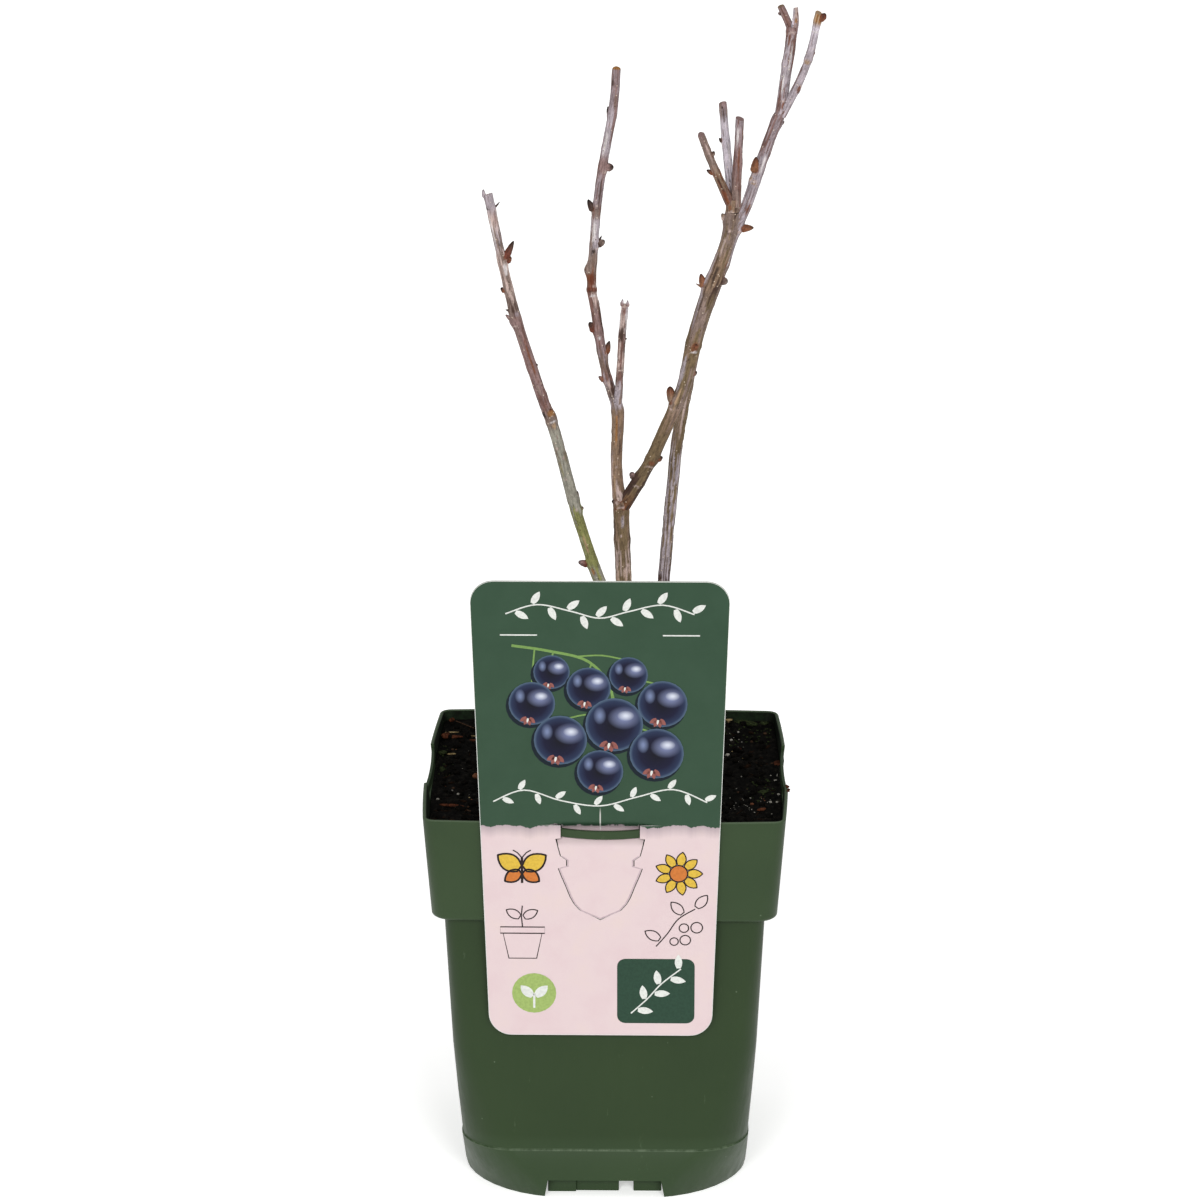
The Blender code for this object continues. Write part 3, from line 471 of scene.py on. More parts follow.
def makePot():
    piece = finishPiece("nurseryPot", potShell(), [potPlastic(), insideShadePlastic()],
                        ["pot"])
    strapLow = pot["height"] - pot["strapDrop"] - pot["strapTall"]
    outLow, outHigh = pot["rimHalf"] - 5, pot["rimHalf"] + 5
    cutters = []
    for side in range(4):
        half = pot["strapLong"] / 2
        cutters.append(cutterFrom(sideBox(-half, half, outLow, outHigh, strapLow,
                                          pot["height"] + 5, side)))
        half = pot["slitLong"] / 2
        cutters.append(cutterFrom(sideBox(-half, half, outLow, outHigh, strapLow - pot["slitTall"],
                                          strapLow + 1, side)))
        half = pot["notchTop"] / 2
        cutters.append(cutterFrom(sideBox(-half, half, pot["footHalf"] - 4, pot["footHalf"] + 4, -1.0,
                                          pot["notchTall"], side,
                                          foot=(pot["notchFoot"] - pot["notchTop"]) / 2)))
        drain = bmesh.new()
        bmesh.ops.create_cone(drain, cap_ends=True, segments=32, radius1=pot["drainRadius"] * mm,
                              radius2=pot["drainRadius"] * mm, depth=6 * mm)
        shift = quarterTurned((pot["drainOut"], -pot["drainOut"], pot["floorUnder"] + 1), side) * mm
        bmesh.ops.translate(drain, vec=shift, verts=drain.verts)
        cutters.append(cutterFrom(drain))
    cutWith(piece, cutters)
    bm = bmesh.new()
    bm.from_mesh(piece.data)
    floorTop = pot["floorUnder"] + pot["wall"] / 2
    for side, bow in enumerate(pot["bows"]):
        strapShape(bm, side, bow, pot["sag"] if side == 0 else 0.0)
        for start, end, out in pot["footWalls"]:
            foot = sideBox(start, end, out - pot["wall"], out, 0.0, floorTop, side)
            foot.normal_update()
            bmesh.ops.bevel(foot, geom=foot.edges[:], offset=0.4 * mm, segments=2, profile=0.5,
                            affect="EDGES", material=-1)
            joinInto(bm, foot)
    pad = bmesh.new()
    made = bmesh.ops.create_cone(pad, cap_ends=True, segments=48, radius1=pot["padRadius"] * mm,
                                 radius2=pot["padRadius"] * mm, depth=floorTop * mm)
    bmesh.ops.translate(pad, vec=(0, 0, floorTop / 2 * mm), verts=made["verts"])
    bmesh.ops.bevel(pad, geom=pad.edges[:], offset=0.3 * mm, segments=2, profile=0.5,
                    affect="EDGES", material=-1)
    joinInto(bm, pad)
    bm.to_mesh(piece.data)
    bm.free()
    piece.data.shade_smooth()
    piece.data.set_sharp_from_angle(angle=math.radians(40))
    print("pot made")


# compost, in millimetres
compost = {
    "gap": 0.3, "edge": 143.8, "climb": 0.06, "top": 143.6, "flatHalf": 34.0, "wallHalf": 63.0,
    "sideSteps": 56, "rings": 52, "lump": 1.3, "lumpSize": 8.0, "clod": 0.55, "clodSize": 2.1,
    "crumbs": 900, "chips": 90, "fibres": 110, "seed": 7,
    # bits strewn in an area: kind, count, smallest, largest, x from and to, y from and to
    "patches": [("grit", 60, 0.3, 0.8, (-61, 61, -61, 61)), ("grit", 40, 0.25, 0.7, (44, 62, -30, -13)),
                ("grit", 16, 0.3, 0.9, (43, 52, 22, 52)), ("moss", 90, 0.4, 1.2, (43, 62, 40, 62)),
                ("moss", 45, 0.5, 1.3, (52, 63, -18, 6)), ("moss", 30, 0.4, 1.2, (-63, -58, 0, 40)),
                ("twig", 90, 0.5, 1.8, (-62, 62, -61, 62)), ("clay", 20, 0.3, 0.8, (-62, 62, -61, 62)),
                ("straw", 14, 0.4, 1.4, (-62, 62, -20, 62))],
    # single bits that show: kind, x, y, length, width, height, turn
    "bits": [
        ("straw", -59.8, 48, 5.4, 0.6, 0.5, 2), ("straw", -51.8, 47.5, 6.5, 0.6, 0.5, -3),
        ("flake", -59.5, 42.5, 8.0, 2.6, 1.2, 4), ("flake", -62.0, 44, 4.5, 2.8, 1.6, 60),
        ("flake", -51.0, 43, 5.0, 1.6, 1.0, -8), ("flake", -60.5, 62, 3.5, 2.0, 1.5, 70),
        ("moss", -62.4, 28.5, 3.4, 2.6, 1.8, 0), ("straw", -59.0, 28.5, 3.6, 1.1, 0.6, 6),
        ("clay", -48.7, 3.1, 2.7, 2.3, 2.2, 0), ("flake", -56.5, -24.3, 9.5, 1.3, 1.1, -12),
        ("twig", -49.0, -30.5, 8.0, 0.7, 0.7, -38), ("grit", -54.5, -14, 1.1, 1.0, 0.8, 0),
        ("grit", -57.0, -9.5, 0.9, 0.8, 0.7, 0), ("grit", -62.0, -15, 1.3, 1.0, 0.8, 0),
        ("moss", -61.8, 14, 2.2, 6.5, 1.2, 4), ("twig", -55.0, 56, 14.0, 0.5, 0.5, -50),
        ("flake", 63.6, 18, 5.2, 2.6, 1.4, 80), ("grit", 63.4, 8.4, 3.4, 0.4, 0.5, 84),
        ("grit", 62.6, 2.7, 1.4, 0.7, 0.6, 30), ("grit", 60.4, -17.7, 1.2, 1.0, 0.9, 0),
        ("grit", 62.8, -17.7, 1.1, 1.0, 0.8, 0), ("grit", 63.4, -13.1, 1.0, 0.9, 0.8, 0),
        ("grit", 51.0, -21.2, 1.1, 0.9, 0.8, 0), ("clay", 53.6, -21.2, 1.5, 1.1, 0.9, 20),
        ("straw", 46.0, 62, 3.6, 1.6, 1.0, 20), ("moss", 54.3, 61, 6.5, 3.4, 2.0, -15),
        ("moss", 51.0, 63, 7.0, 1.8, 1.6, 4), ("moss", 59.5, 62, 4.0, 2.0, 1.4, 10),
        ("grit", 46.8, 47.3, 1.3, 1.1, 0.9, 0), ("grit", 45.2, 30.8, 2.0, 1.3, 1.1, 30),
        ("flake", 48.9, 36.5, 3.6, 1.6, 1.3, -20), ("flake", 57.0, -27, 3.8, 1.8, 1.2, 25),
        ("moss", 58.0, -8.0, 4.2, 3.0, 1.0, 30), ("grit", 49.5, 52.0, 1.0, 0.9, 0.8, 0),
    ],
    # crumbs that lie on the rim: x, y, size
    "spilt": [(66.4, -27.0, 1.9), (66.7, -29.3, 1.3), (66.5, -31.4, 1.6), (65.9, -24.6, 1.0)],
}


def compostHeight(x, y):
    slope = eased(max(abs(x), abs(y)), compost["flatHalf"], compost["wallHalf"])
    edge = compost["edge"] + compost["climb"] * y
    base = compost["top"] + (edge - compost["top"]) * slope
    coarse = noise.fractal(Vector((x, y, 3.0)) / compost["lumpSize"], 0.7, 2.0, 3)
    fine = noise.fractal(Vector((x, y, 9.0)) / compost["clodSize"], 0.8, 2.1, 4)
    return base + compost["lump"] * coarse + compost["clod"] * fine


def groundMaterial(name, colours, size, roughness, depth):
    # loose dry or moist matter: three close colours in a fine grain, matt
    material, tree, shader = newMaterial(name, Roughness=roughness)
    shader.inputs["Specular IOR Level"].default_value = 0.04
    where = addNode(tree, "TexCoord").outputs["Object"]
    grain = addNode(tree, "TexNoise", {"Vector": where, "Scale": 1 / (size * mm), "Detail": 8.0,
                                       "Roughness": 0.75})
    colour = addNode(tree, "ValToRGB", {"Fac": grain.outputs["Fac"]}, stops=[
        (place, hexColour(code)) for place, code in zip((0.38, 0.55, 0.72), colours)])
    tree.links.new(colour.outputs["Color"], shader.inputs["Base Color"])
    bump = addNode(tree, "Bump", {"Height": grain.outputs["Fac"], "Distance": depth * mm, "Strength": 1.0})
    tree.links.new(bump.outputs["Normal"], shader.inputs["Normal"])
    return material


# one rough lump, turned and set down at a place
def addLump(bm, place, length, width, tall, turn, materialIndex, rough=0.35, detail=1):
    made = bmesh.ops.create_icosphere(bm, subdivisions=detail, radius=0.5)["verts"]
    shift = Vector((place[0], place[1], 0.0)) * 1.7
    for vert in made:
        jag = 1 + rough * noise.noise(vert.co * 3.1 + shift)
        x, y = vert.co.x * jag * length, vert.co.y * jag * width
        vert.co = (x * math.cos(turn) - y * math.sin(turn), x * math.sin(turn) + y * math.cos(turn),
                   vert.co.z * jag * tall)
    bmesh.ops.scale(bm, vec=(mm, mm, mm), verts=made)
    bmesh.ops.translate(bm, vec=Vector(place) * mm, verts=made)
    for vert in made:
        for face in vert.link_faces:
            face.material_index = materialIndex


# scattered lumps half sunk in the compost; flat gives width and height for a length
def scatterLumps(bm, rng, count, low, high, flat, materialIndex, area=(-61, 61, -61, 61)):
    for _ in range(count):
        x, y = rng.uniform(*area[:2]), rng.uniform(*area[2:])
        size = rng.uniform(low, high)
        place = (x, y, compostHeight(x, y) + size * flat[1] * 0.2)
        addLump(bm, place, size, size * flat[0], size * flat[1], rng.uniform(0, math.pi),
                materialIndex)


def makeCompost():
    rng = random.Random(compost["seed"])
    loops = insideLoops(compost["gap"], compost["sideSteps"])
    drop = pot["wall"] + compost["gap"]
    rim = squareLoop(pot["height"], pot["rimHalf"] - drop, pot["cornerRim"] - drop, pot["bulge"],
                     compost["sideSteps"])
    wallTop = []
    for low, high in zip(loops[-1], rim):
        height = (compost["edge"] + compost["climb"] * high.y / mm) * mm
        wallTop.append(low.lerp(high, (height - low.z) / (high.z - low.z)))
    loops.append(wallTop)
    for step in range(1, compost["rings"]):
        share = 1 - step / compost["rings"]
        ring = []
        for place in wallTop:
            x, y = place.x / mm * share, place.y / mm * share
            ring.append(Vector((x, y, compostHeight(x, y))) * mm)
        loops.append(ring)
    bm = bmesh.new()
    skinLoops(bm, loops)
    soils = [groundMaterial("Peat compost", ("030303", "100F0D", "2D2922"), 1.8, 0.95, 0.7),
             groundMaterial("Compost crumbs", ("040303", "0C0A08", "1F1912"), 1.0, 0.9, 0.4),
             groundMaterial("Composted bark", ("0E0805", "1F130B", "342216"), 1.2, 0.85, 0.3)]
    scatterLumps(bm, rng, compost["crumbs"], 0.9, 3.6, (0.8, 0.7), 1)
    scatterLumps(bm, rng, compost["chips"], 1.8, 5.0, (0.4, 0.3), 2)
    scatterLumps(bm, rng, compost["fibres"], 3.0, 9.0, (0.07, 0.07), 2)
    finishPiece("compostTop", bm, soils, ["compost"], 60)
    kinds = {
        "straw": groundMaterial("Dry straw", ("5B4C2F", "907E5A", "B0A482"), 1.0, 0.7, 0.1),
        "flake": groundMaterial("Bark flakes", ("23120C", "4E2B1C", "764C34"), 1.3, 0.85, 0.3),
        "twig": groundMaterial("Dead twiglets", ("231711", "402F23", "5E4938"), 0.8, 0.8, 0.1),
        "moss": groundMaterial("Moss", ("12160D", "2E361F", "4E5636"), 0.7, 0.95, 0.5),
        "clay": groundMaterial("Clay grains", ("46281C", "6A4430", "8C6248"), 0.8, 0.8, 0.1),
        "grit": groundMaterial("Perlite grit", ("6A675F", "9A968D", "B9B7AF"), 0.6, 0.8, 0.2),
    }
    bm = bmesh.new()
    for kind, x, y, length, width, tall, turn in compost["bits"]:
        place = (x, y, compostHeight(x, y) + tall * 0.45)
        addLump(bm, place, length, width, tall, math.radians(turn), list(kinds).index(kind), 0.3, 2)
    for x, y, size in compost["spilt"]:
        addLump(bm, (x, y, pot["height"] + size * 0.25), size, size * 0.8, size * 0.6, x * y, 1)
    for kind, count, low, high, area in compost["patches"]:
        scatterLumps(bm, rng, count, low, high, (0.8, 0.6), list(kinds).index(kind), area)
    finishPiece("compostBits", bm, list(kinds.values()), smoothAngle=60)
    print("compost made")


# card, in millimetres in its own plane: x across, y up from its lower edge
card = {
    "centreX": -1.3, "thick": 0.5, "standOff": 0.6, "bottom": 67.5, "top": 244.0, "lean": 5.5,
    "topHalf": 45.4, "bottomHalf": 40.5, "topCorner": 8.2, "bottomCorner": 8.6,
    # die-cut tongue: half widths of the cut with heights, from the slit's tip to the point
    "slitEnd": 22.0, "slitAt": 150.9, "neckHalf": 14.0,
    "cut": [(14.15, 150.7), (14.15, 145.9), (16.05, 145.55), (15.2, 142.0), (14.4, 138.9),
            (12.2, 137.2), (12.2, 134.9), (15.2, 134.0), (14.1, 130.8), (12.8, 127.6), (11.0, 122.7),
            (9.6, 120.0), (7.5, 117.5), (3.9, 115.8)],
    "cutTip": 113.6, "cutGap": 0.36,
    # the sheet over the slit is pulled back to the rim, and the tongue dips behind the strap
    "pull": 1.1, "pullTop": 153.5,
    "dip": [(66.36, 150.9), (65.2, 150.1), (64.7, 149.2), (64.55, 147.4), (64.55, 145.3),
            (65.0, 144.5), (65.8, 143.6), (66.62, 142.6), (66.56, 141.5)],
    "tearAt": 150.6, "crease": (148.6, 158.0),
}
cardLean = math.radians(card["lean"])


def cardUp(height):
    return (height - card["bottom"]) / math.cos(cardLean)


# a place on the card's back, or off it towards the front, in metres
def cardPlace(x, y, off=0.0):
    height = card["bottom"] + y * math.cos(cardLean)
    out = (pot["rimHalf"] + pot["bulge"] + card["standOff"]
           + (height - pot["height"]) * math.tan(cardLean))
    return Vector((card["centreX"] + x, -(out + off * math.cos(cardLean)),
                   height - off * math.sin(cardLean))) * mm


# half width of the cut at a height up the card, or 0 below its tip
def cutHalf(y):
    rows = [(half, cardUp(height)) for half, height in card["cut"] + [(0.0, card["cutTip"])]]
    for (above, high), (below, low) in zip(rows, rows[1:]):
        if low <= y <= high:
            return below + (above - below) * (y - low) / (high - low)
    return 0.0


# a place on the tongue: it follows the dip, then lies in the card's plane again
def tonguePlace(x, y, off):
    start, end = cardUp(card["dip"][0][1]), cardUp(card["dip"][-1][1])
    share = min(1.0, (start - y) / (start - end)) * (len(card["dip"]) - 1)
    step = min(int(share), len(card["dip"]) - 2)
    part = eased(share - step, 0.0, 1.0) if step == 0 else share - step
    (out, height), (nextOut, nextHeight) = card["dip"][step], card["dip"][step + 1]
    run = Vector((nextHeight - height, out - nextOut)).normalized()
    flat = Vector((math.cos(cardLean), -math.sin(cardLean)))
    normal = flat.lerp(Vector((-run.x, -run.y)), min(1.0, share)).normalized()
    return Vector((card["centreX"] + x, -(out + (nextOut - out) * part + off * normal.x),
                   height + (nextHeight - height) * part + off * normal.y)) * mm


# a place on the sheet or its tongue
def cardBent(x, y, off):
    if y <= cardUp(card["slitAt"]) and abs(x) < cutHalf(y) - card["cutGap"] / 2:
        if y > cardUp(card["dip"][-1][1]):
            return tonguePlace(x, y, off)
        return cardPlace(x, y, off)
    place = cardPlace(x, y, off)
    height = place.z / mm
    above = y >= cardUp(card["slitAt"]) - 0.01
    if above and height < card["pullTop"]:
        share = (card["pullTop"] - height) / (card["pullTop"] - card["slitAt"])
        side = 1 - eased(abs(x), card["neckHalf"], card["slitEnd"])
        place.y += card["pull"] * min(1.0, share) ** 1.6 * side * mm
    return place


def cardOutline(steps=10):
    tall = cardUp(card["top"])
    corners = ((card["bottomHalf"], 0.0, card["bottomCorner"], -90),
               (card["topHalf"], tall, card["topCorner"], 0),
               (-card["topHalf"], tall, card["topCorner"], 90),
               (-card["bottomHalf"], 0.0, card["bottomCorner"], 180))
    points = []
    for x, y, radius, start in corners:
        middleX = x - math.copysign(radius, x)
        middleY = y + (radius if y == 0.0 else -radius)
        for step in range(steps + 1):
            angle = math.radians(start + 90 * step / steps)
            points.append((middleX + radius * math.cos(angle), middleY + radius * math.sin(angle)))
    return points


# the cut's ribbon of nothing: down the sheet's side of it, and up the tongue's side
def cutLoop():
    gap, slit = card["cutGap"], cardUp(card["slitAt"])
    sheet = [(half, cardUp(height)) for half, height in card["cut"]]
    tongue = [(half - gap, y) for half, y in sheet]
    tip = cardUp(card["cutTip"])
    right = [(card["slitEnd"], slit)] + sheet + [(0.0, tip)]
    left = [(-x, y) for x, y in sheet[::-1]] + [(-card["slitEnd"], slit)]
    back = [(-card["neckHalf"] + gap, slit)] + [(-x, y) for x, y in tongue] + [(0.0, tip + gap)]
    return right + left + back + tongue[::-1] + [(card["neckHalf"] - gap, slit)]


def addLoop(bm, points):
    verts = [bm.verts.new((x, y, 0.0)) for x, y in points]
    return [bm.edges.new((verts[i - 1], verts[i])) for i in range(len(verts))]


def cardPrint():
    # coated board, offset printed: dark green above a torn edge, mottled pink below
    material, tree, shader = newMaterial("Printed board", Roughness=0.5)
    shader.inputs["Specular IOR Level"].default_value = 0.15
    where = addNode(tree, "TexCoord").outputs["Object"]
    axes = addNode(tree, "SeparateXYZ", {"Vector": where})
    across = addNode(tree, "CombineXYZ", {"X": axes.outputs["X"]})
    wave = addNode(tree, "TexNoise", {"Vector": across.outputs["Vector"], "Scale": 1 / (11 * mm),
                                      "Detail": 9.0, "Roughness": 0.62})
    sway = addNode(tree, "MapRange", {"Value": wave.outputs["Fac"], "From Min": 0.2, "From Max": 0.8,
                                      "To Min": -2.3 * mm, "To Max": 2.3 * mm})
    level = addNode(tree, "Math", {0: axes.outputs["Z"], 1: sway.outputs["Result"]}, operation="ADD")
    above = addNode(tree, "MapRange", {"Value": level.outputs[0],
                                       "From Min": (card["tearAt"] - 0.1) * mm,
                                       "From Max": (card["tearAt"] + 0.1) * mm})
    fringe = addNode(tree, "MapRange", {"Value": level.outputs[0],
                                        "From Min": (card["tearAt"] - 4.5) * mm,
                                        "From Max": card["tearAt"] * mm, "To Max": 0.8})
    blotch = addNode(tree, "TexNoise", {"Vector": where, "Scale": 1 / (13 * mm), "Detail": 6.0,
                                        "Roughness": 0.6})
    pink = addNode(tree, "ValToRGB", {"Fac": blotch.outputs["Fac"]}, stops=[
        (0.34, hexColour("C6B2B4")), (0.52, hexColour("C8B6B7")), (0.68, hexColour("C9B7B5"))])
    paper = addNode(tree, "Mix", {0: fringe.outputs["Result"], 6: pink.outputs["Color"],
                                  7: hexColour("92848A")}, data_type="RGBA")
    green = addNode(tree, "ValToRGB", {"Fac": blotch.outputs["Fac"]}, stops=[
        (0.3, hexColour("2B4231")), (0.7, hexColour("2F4635"))])
    colour = addNode(tree, "Mix", {0: above.outputs["Result"], 6: paper.outputs[2],
                                   7: green.outputs["Color"]}, data_type="RGBA")
    # a thin pale line down the middle: a painted highlight along the fold
    low, high = card["crease"]
    off = addNode(tree, "Math", {0: axes.outputs["X"], 1: -card["centreX"] * mm}, operation="ADD")
    near = addNode(tree, "Math", {0: off.outputs[0]}, operation="ABSOLUTE")
    line = addNode(tree, "MapRange", {"Value": near.outputs[0], "From Min": 0.1 * mm,
                                      "From Max": 0.3 * mm, "To Min": 0.75, "To Max": 0.0})
    start = addNode(tree, "MapRange", {"Value": axes.outputs["Z"], "From Min": (low - 1) * mm,
                                       "From Max": low * mm})
    stop = addNode(tree, "MapRange", {"Value": axes.outputs["Z"], "From Min": (high - 3) * mm,
                                      "From Max": high * mm, "To Min": 1.0, "To Max": 0.0})
    span = addNode(tree, "Math", {0: start.outputs[0], 1: stop.outputs[0]}, operation="MULTIPLY")
    paleMarks = addNode(tree, "Math", {0: line.outputs[0], 1: span.outputs[0]}, operation="MULTIPLY")
    foldHighlit = addNode(tree, "Mix", {0: paleMarks.outputs[0], 6: colour.outputs[2],
                                    7: hexColour("D0CEC9")}, data_type="RGBA")
    tree.links.new(foldHighlit.outputs[2], shader.inputs["Base Color"])
    return material


def makeCard():
    bm = bmesh.new()
    edges = addLoop(bm, cardOutline()) + addLoop(bm, cutLoop())
    bmesh.ops.triangle_fill(bm, use_beauty=True, edges=edges, normal=(0, 0, 1))
    low, high = cardUp(card["dip"][-1][1]), cardUp(card["pullTop"])
    rows = [low + (high - low) * step / 22 for step in range(23)]
    columns = [x * turn for x in (12.0, 14.0, 16.0, 18.0, 20.0) for turn in (1, -1)]
    cuts = [((0, y, 0), (0, 1, 0)) for y in rows] + [((x, 0, 0), (1, 0, 0)) for x in columns]
    for place, normal in cuts:
        bmesh.ops.bisect_plane(bm, geom=bm.verts[:] + bm.edges[:] + bm.faces[:], dist=1e-4,
                               plane_co=place, plane_no=normal)
    made = bmesh.ops.extrude_face_region(bm, geom=bm.faces[:], use_keep_orig=True)["geom"]
    for part in made:
        if isinstance(part, bmesh.types.BMVert):
            part.co.z = card["thick"]
    for face in bm.faces:
        face.material_index = 0 if min(v.co.z for v in face.verts) > card["thick"] / 2 else 1
    for vert in bm.verts:
        vert.co = cardBent(vert.co.x, vert.co.y, vert.co.z)
    edge, _, shader = newMaterial("White board edge", Roughness=0.7)
    shader.inputs["Base Color"].default_value = hexColour("CDCCC7")
    finishPiece("plantCard", bm, [cardPrint(), edge], ["plant_card"], 35)
    print("card made")


def inkMaterial(name, code, roughness=0.45):
    # printing ink on coated board: flat colour with a faint mottle from the sheet
    material, tree, shader = newMaterial(name, Roughness=roughness)
    shader.inputs["Specular IOR Level"].default_value = 0.15
    where = addNode(tree, "TexCoord").outputs["Object"]
    mottle = addNode(tree, "TexNoise", {"Vector": where, "Scale": 1 / (0.9 * mm), "Detail": 2.0})
    base = hexColour(code)
    darker = tuple(c * 0.86 for c in base[:3]) + (1.0,)
    colour = addNode(tree, "ValToRGB", {"Fac": mottle.outputs["Fac"]}, stops=[
        (0.35, darker), (0.6, base)])
    tree.links.new(colour.outputs["Color"], shader.inputs["Base Color"])
    return material


def berryInk():
    # printed picture of a ripe currant: near-black skin, a cold light round its edge, a broad
    # soft light on the right and a small one on the left
    material, tree, shader = newMaterial("Printed currant", Roughness=0.42)
    shader.inputs["Specular IOR Level"].default_value = 0.15
    spot = addNode(tree, "UVMap", uv_map="berry").outputs["UV"]
    middle = addNode(tree, "VectorMath", {0: spot}, operation="LENGTH")
    skin = addNode(tree, "ValToRGB", {"Fac": middle.outputs["Value"]}, stops=[
        (0.0, hexColour("0A0912")), (0.62, hexColour("12132B")), (0.88, hexColour("222C46")),
        (1.0, hexColour("485A6E"))])
    colour = skin.outputs["Color"]
    for place, stretch, reach, code in (((0.34, 0.26, 0), (1.0, 1.3, 1), 0.58, "727A9C"),
                                        ((0.4, 0.34, 0), (1.0, 1.5, 1), 0.3, "C3C7D2"),
                                        ((-0.5, 0.34, 0), (1.5, 1.0, 1), 0.34, "6C7898")):
        away = addNode(tree, "VectorMath", {0: spot, 1: place}, operation="SUBTRACT")
        wide = addNode(tree, "VectorMath", {0: away.outputs["Vector"], 1: stretch},
                       operation="MULTIPLY")
        gone = addNode(tree, "VectorMath", {0: wide.outputs["Vector"]}, operation="LENGTH")
        glow = addNode(tree, "MapRange", {"Value": gone.outputs["Value"], "From Min": reach * 0.15,
                                          "From Max": reach, "To Min": 0.9, "To Max": 0.0})
        colour = addNode(tree, "Mix", {0: glow.outputs["Result"], 6: colour, 7: hexColour(code)},
                         data_type="RGBA").outputs[2]
    tree.links.new(colour, shader.inputs["Base Color"])
    return material


# a flat printed shape on the card's front
def inkFace(bm, points, lift, index):
    verts = [bm.verts.new(cardPlace(x, y, card["thick"] + lift)) for x, y in points]
    face = bm.faces.new(verts)
    face.material_index = index
    return face


# a printed line: an edge of the line's width, extruded from point to point
def inkLine(bm, points, width, lift, index, closed=False):
    path = [Vector(p) for p in points]
    count = len(path)
    sides = []
    for i, point in enumerate(path):
        ahead = path[(i + 1) % count] if closed or i + 1 < count else point
        behind = path[i - 1] if closed or i > 0 else point
        along = (ahead - behind).normalized()
        across = Vector((-along.y, along.x)) * width / 2
        sides.append((point + across, point - across))
    if closed:
        sides.append(sides[0])
    pair = [bm.verts.new(cardPlace(p.x, p.y, card["thick"] + lift)) for p in sides[0]]
    edge = bm.edges.new(pair)
    for left, right in sides[1:]:
        made = bmesh.ops.extrude_edge_only(bm, edges=[edge])["geom"]
        edge = next(part for part in made if isinstance(part, bmesh.types.BMEdge)
                    and not any(v in pair for v in part.verts))
        first, second = edge.verts
        if bm.edges.get((pair[0], first)) is None:
            first, second = second, first
        first.co = cardPlace(left.x, left.y, card["thick"] + lift)
        second.co = cardPlace(right.x, right.y, card["thick"] + lift)
        for face in edge.link_faces:
            face.material_index = index
        pair = [first, second]


def arcPoints(x, y, radius, start=0, end=345, steps=23):
    return [(x + radius * math.cos(math.radians(start + (end - start) * s / steps)),
             y + radius * math.sin(math.radians(start + (end - start) * s / steps)))
            for s in range(steps + 1)]


# outline of a pointed leaf from its foot at x, y
def leafPoints(x, y, length, width, turn, steps=12):
    points = []
    for side in (1, -1):
        for step in range(steps + 1):
            t = step / steps if side == 1 else 1 - step / steps
            across = side * width / 2 * math.sin(math.pi * t) ** 0.8
            along = length * t
            points.append((x + along * math.cos(turn) - across * math.sin(turn),
                           y + along * math.sin(turn) + across * math.cos(turn)))
    return points[1:-1]


# a smooth row of points between given ones
def smoothPoints(points, steps=6):
    path = []
    for i in range(len(points) - 1):
        before, start, end = points[max(0, i - 1)], points[i], points[i + 1]
        after = points[min(len(points) - 1, i + 2)]
        for step in range(steps):
            t = step / steps
            path.append(tuple(0.5 * (2 * b + (c - a) * t + (2 * a - 5 * b + 4 * c - d) * t * t
                                     + (3 * b - a - 3 * c + d) * t ** 3)
                              for a, b, c, d in zip(before, start, end, after)))
    return path + [points[-1]]


artwork = {
    # berries: x, y on the card and radius, mm, the lowest hung last
    "berries": [(-17, 143, 6.4), (10, 142, 6.8), (-4, 137, 7.8), (-24, 131, 8.2), (22, 131, 8.8),
                (5, 123, 10.2), (-14, 117, 9.4), (20, 112, 9.6), (0, 105, 8.2)],
    "stalk": [(-31, 153), (-18, 151), (-4, 147), (4, 136), (3, 122), (2, 110)],
    "garland": [(-33, 165), (-22, 168.5), (-10, 166), (0, 163.5), (10, 166), (22, 168.5), (33, 165)],
    "wave": [(-38, 93), (-27, 97.5), (-14, 93.5), (0, 91.5), (13, 95), (26, 98), (38, 93)],
    "thin": 0.45, "edge": 0.2, "cutshade": 0.5,
}


def printBerries(bm, uv, ink):
    stalk = smoothPoints(artwork["stalk"])
    inkLine(bm, stalk, 1.0, 0.03, ink["leaf"])
    for x, y, radius in artwork["berries"]:
        top = Vector((x, y + radius * 0.8))
        joint = min((Vector(p) for p in stalk if p[1] > top.y + 1.0),
                    key=lambda p: (p - top).length, default=Vector(stalk[0]))
        bend = top.lerp(joint, 0.5) + Vector((0.0, 1.2))
        inkLine(bm, smoothPoints([tuple(joint), tuple(bend), tuple(top)], 4), 0.6, 0.04, ink["leaf"])
    for number, (x, y, radius) in enumerate(artwork["berries"]):
        lift = 0.06 + 0.02 * number
        inkFace(bm, arcPoints(x - 0.7, y - 1.0, radius + 0.3), lift - 0.01, ink["shade"])
        disc = inkFace(bm, arcPoints(x, y, radius), lift, ink["berry"])
        for loop, (u, v) in zip(disc.loops, arcPoints(0, 0, 1.0)):
            loop[uv].uv = (u, v)
        calyx = (x - radius * 0.16, y - radius * 0.62)
        for turn in (-150, -115, -80, -45):
            inkFace(bm, leafPoints(*calyx, radius * 0.42, radius * 0.2, math.radians(turn), 5),
                    lift + 0.008, ink["calyx"])
        inkFace(bm, leafPoints(*calyx, radius * 0.3, radius * 0.09, math.radians(-100), 4),
                lift + 0.012, ink["white"])


# leaves in turn on both sides of a curved line
def printSprays(bm, points, size, ink, lift=0.03):
    path = smoothPoints(points)
    inkLine(bm, path, 0.5, lift, ink)
    for number in range(2, len(path) - 1, 3):
        x, y = path[number]
        ahead = path[number + 1]
        run = math.atan2(ahead[1] - y, ahead[0] - x)
        side = 1 if number % 2 else -1
        inkFace(bm, leafPoints(x, y, size, size * 0.42, run + side * 0.9, 7), lift, ink)


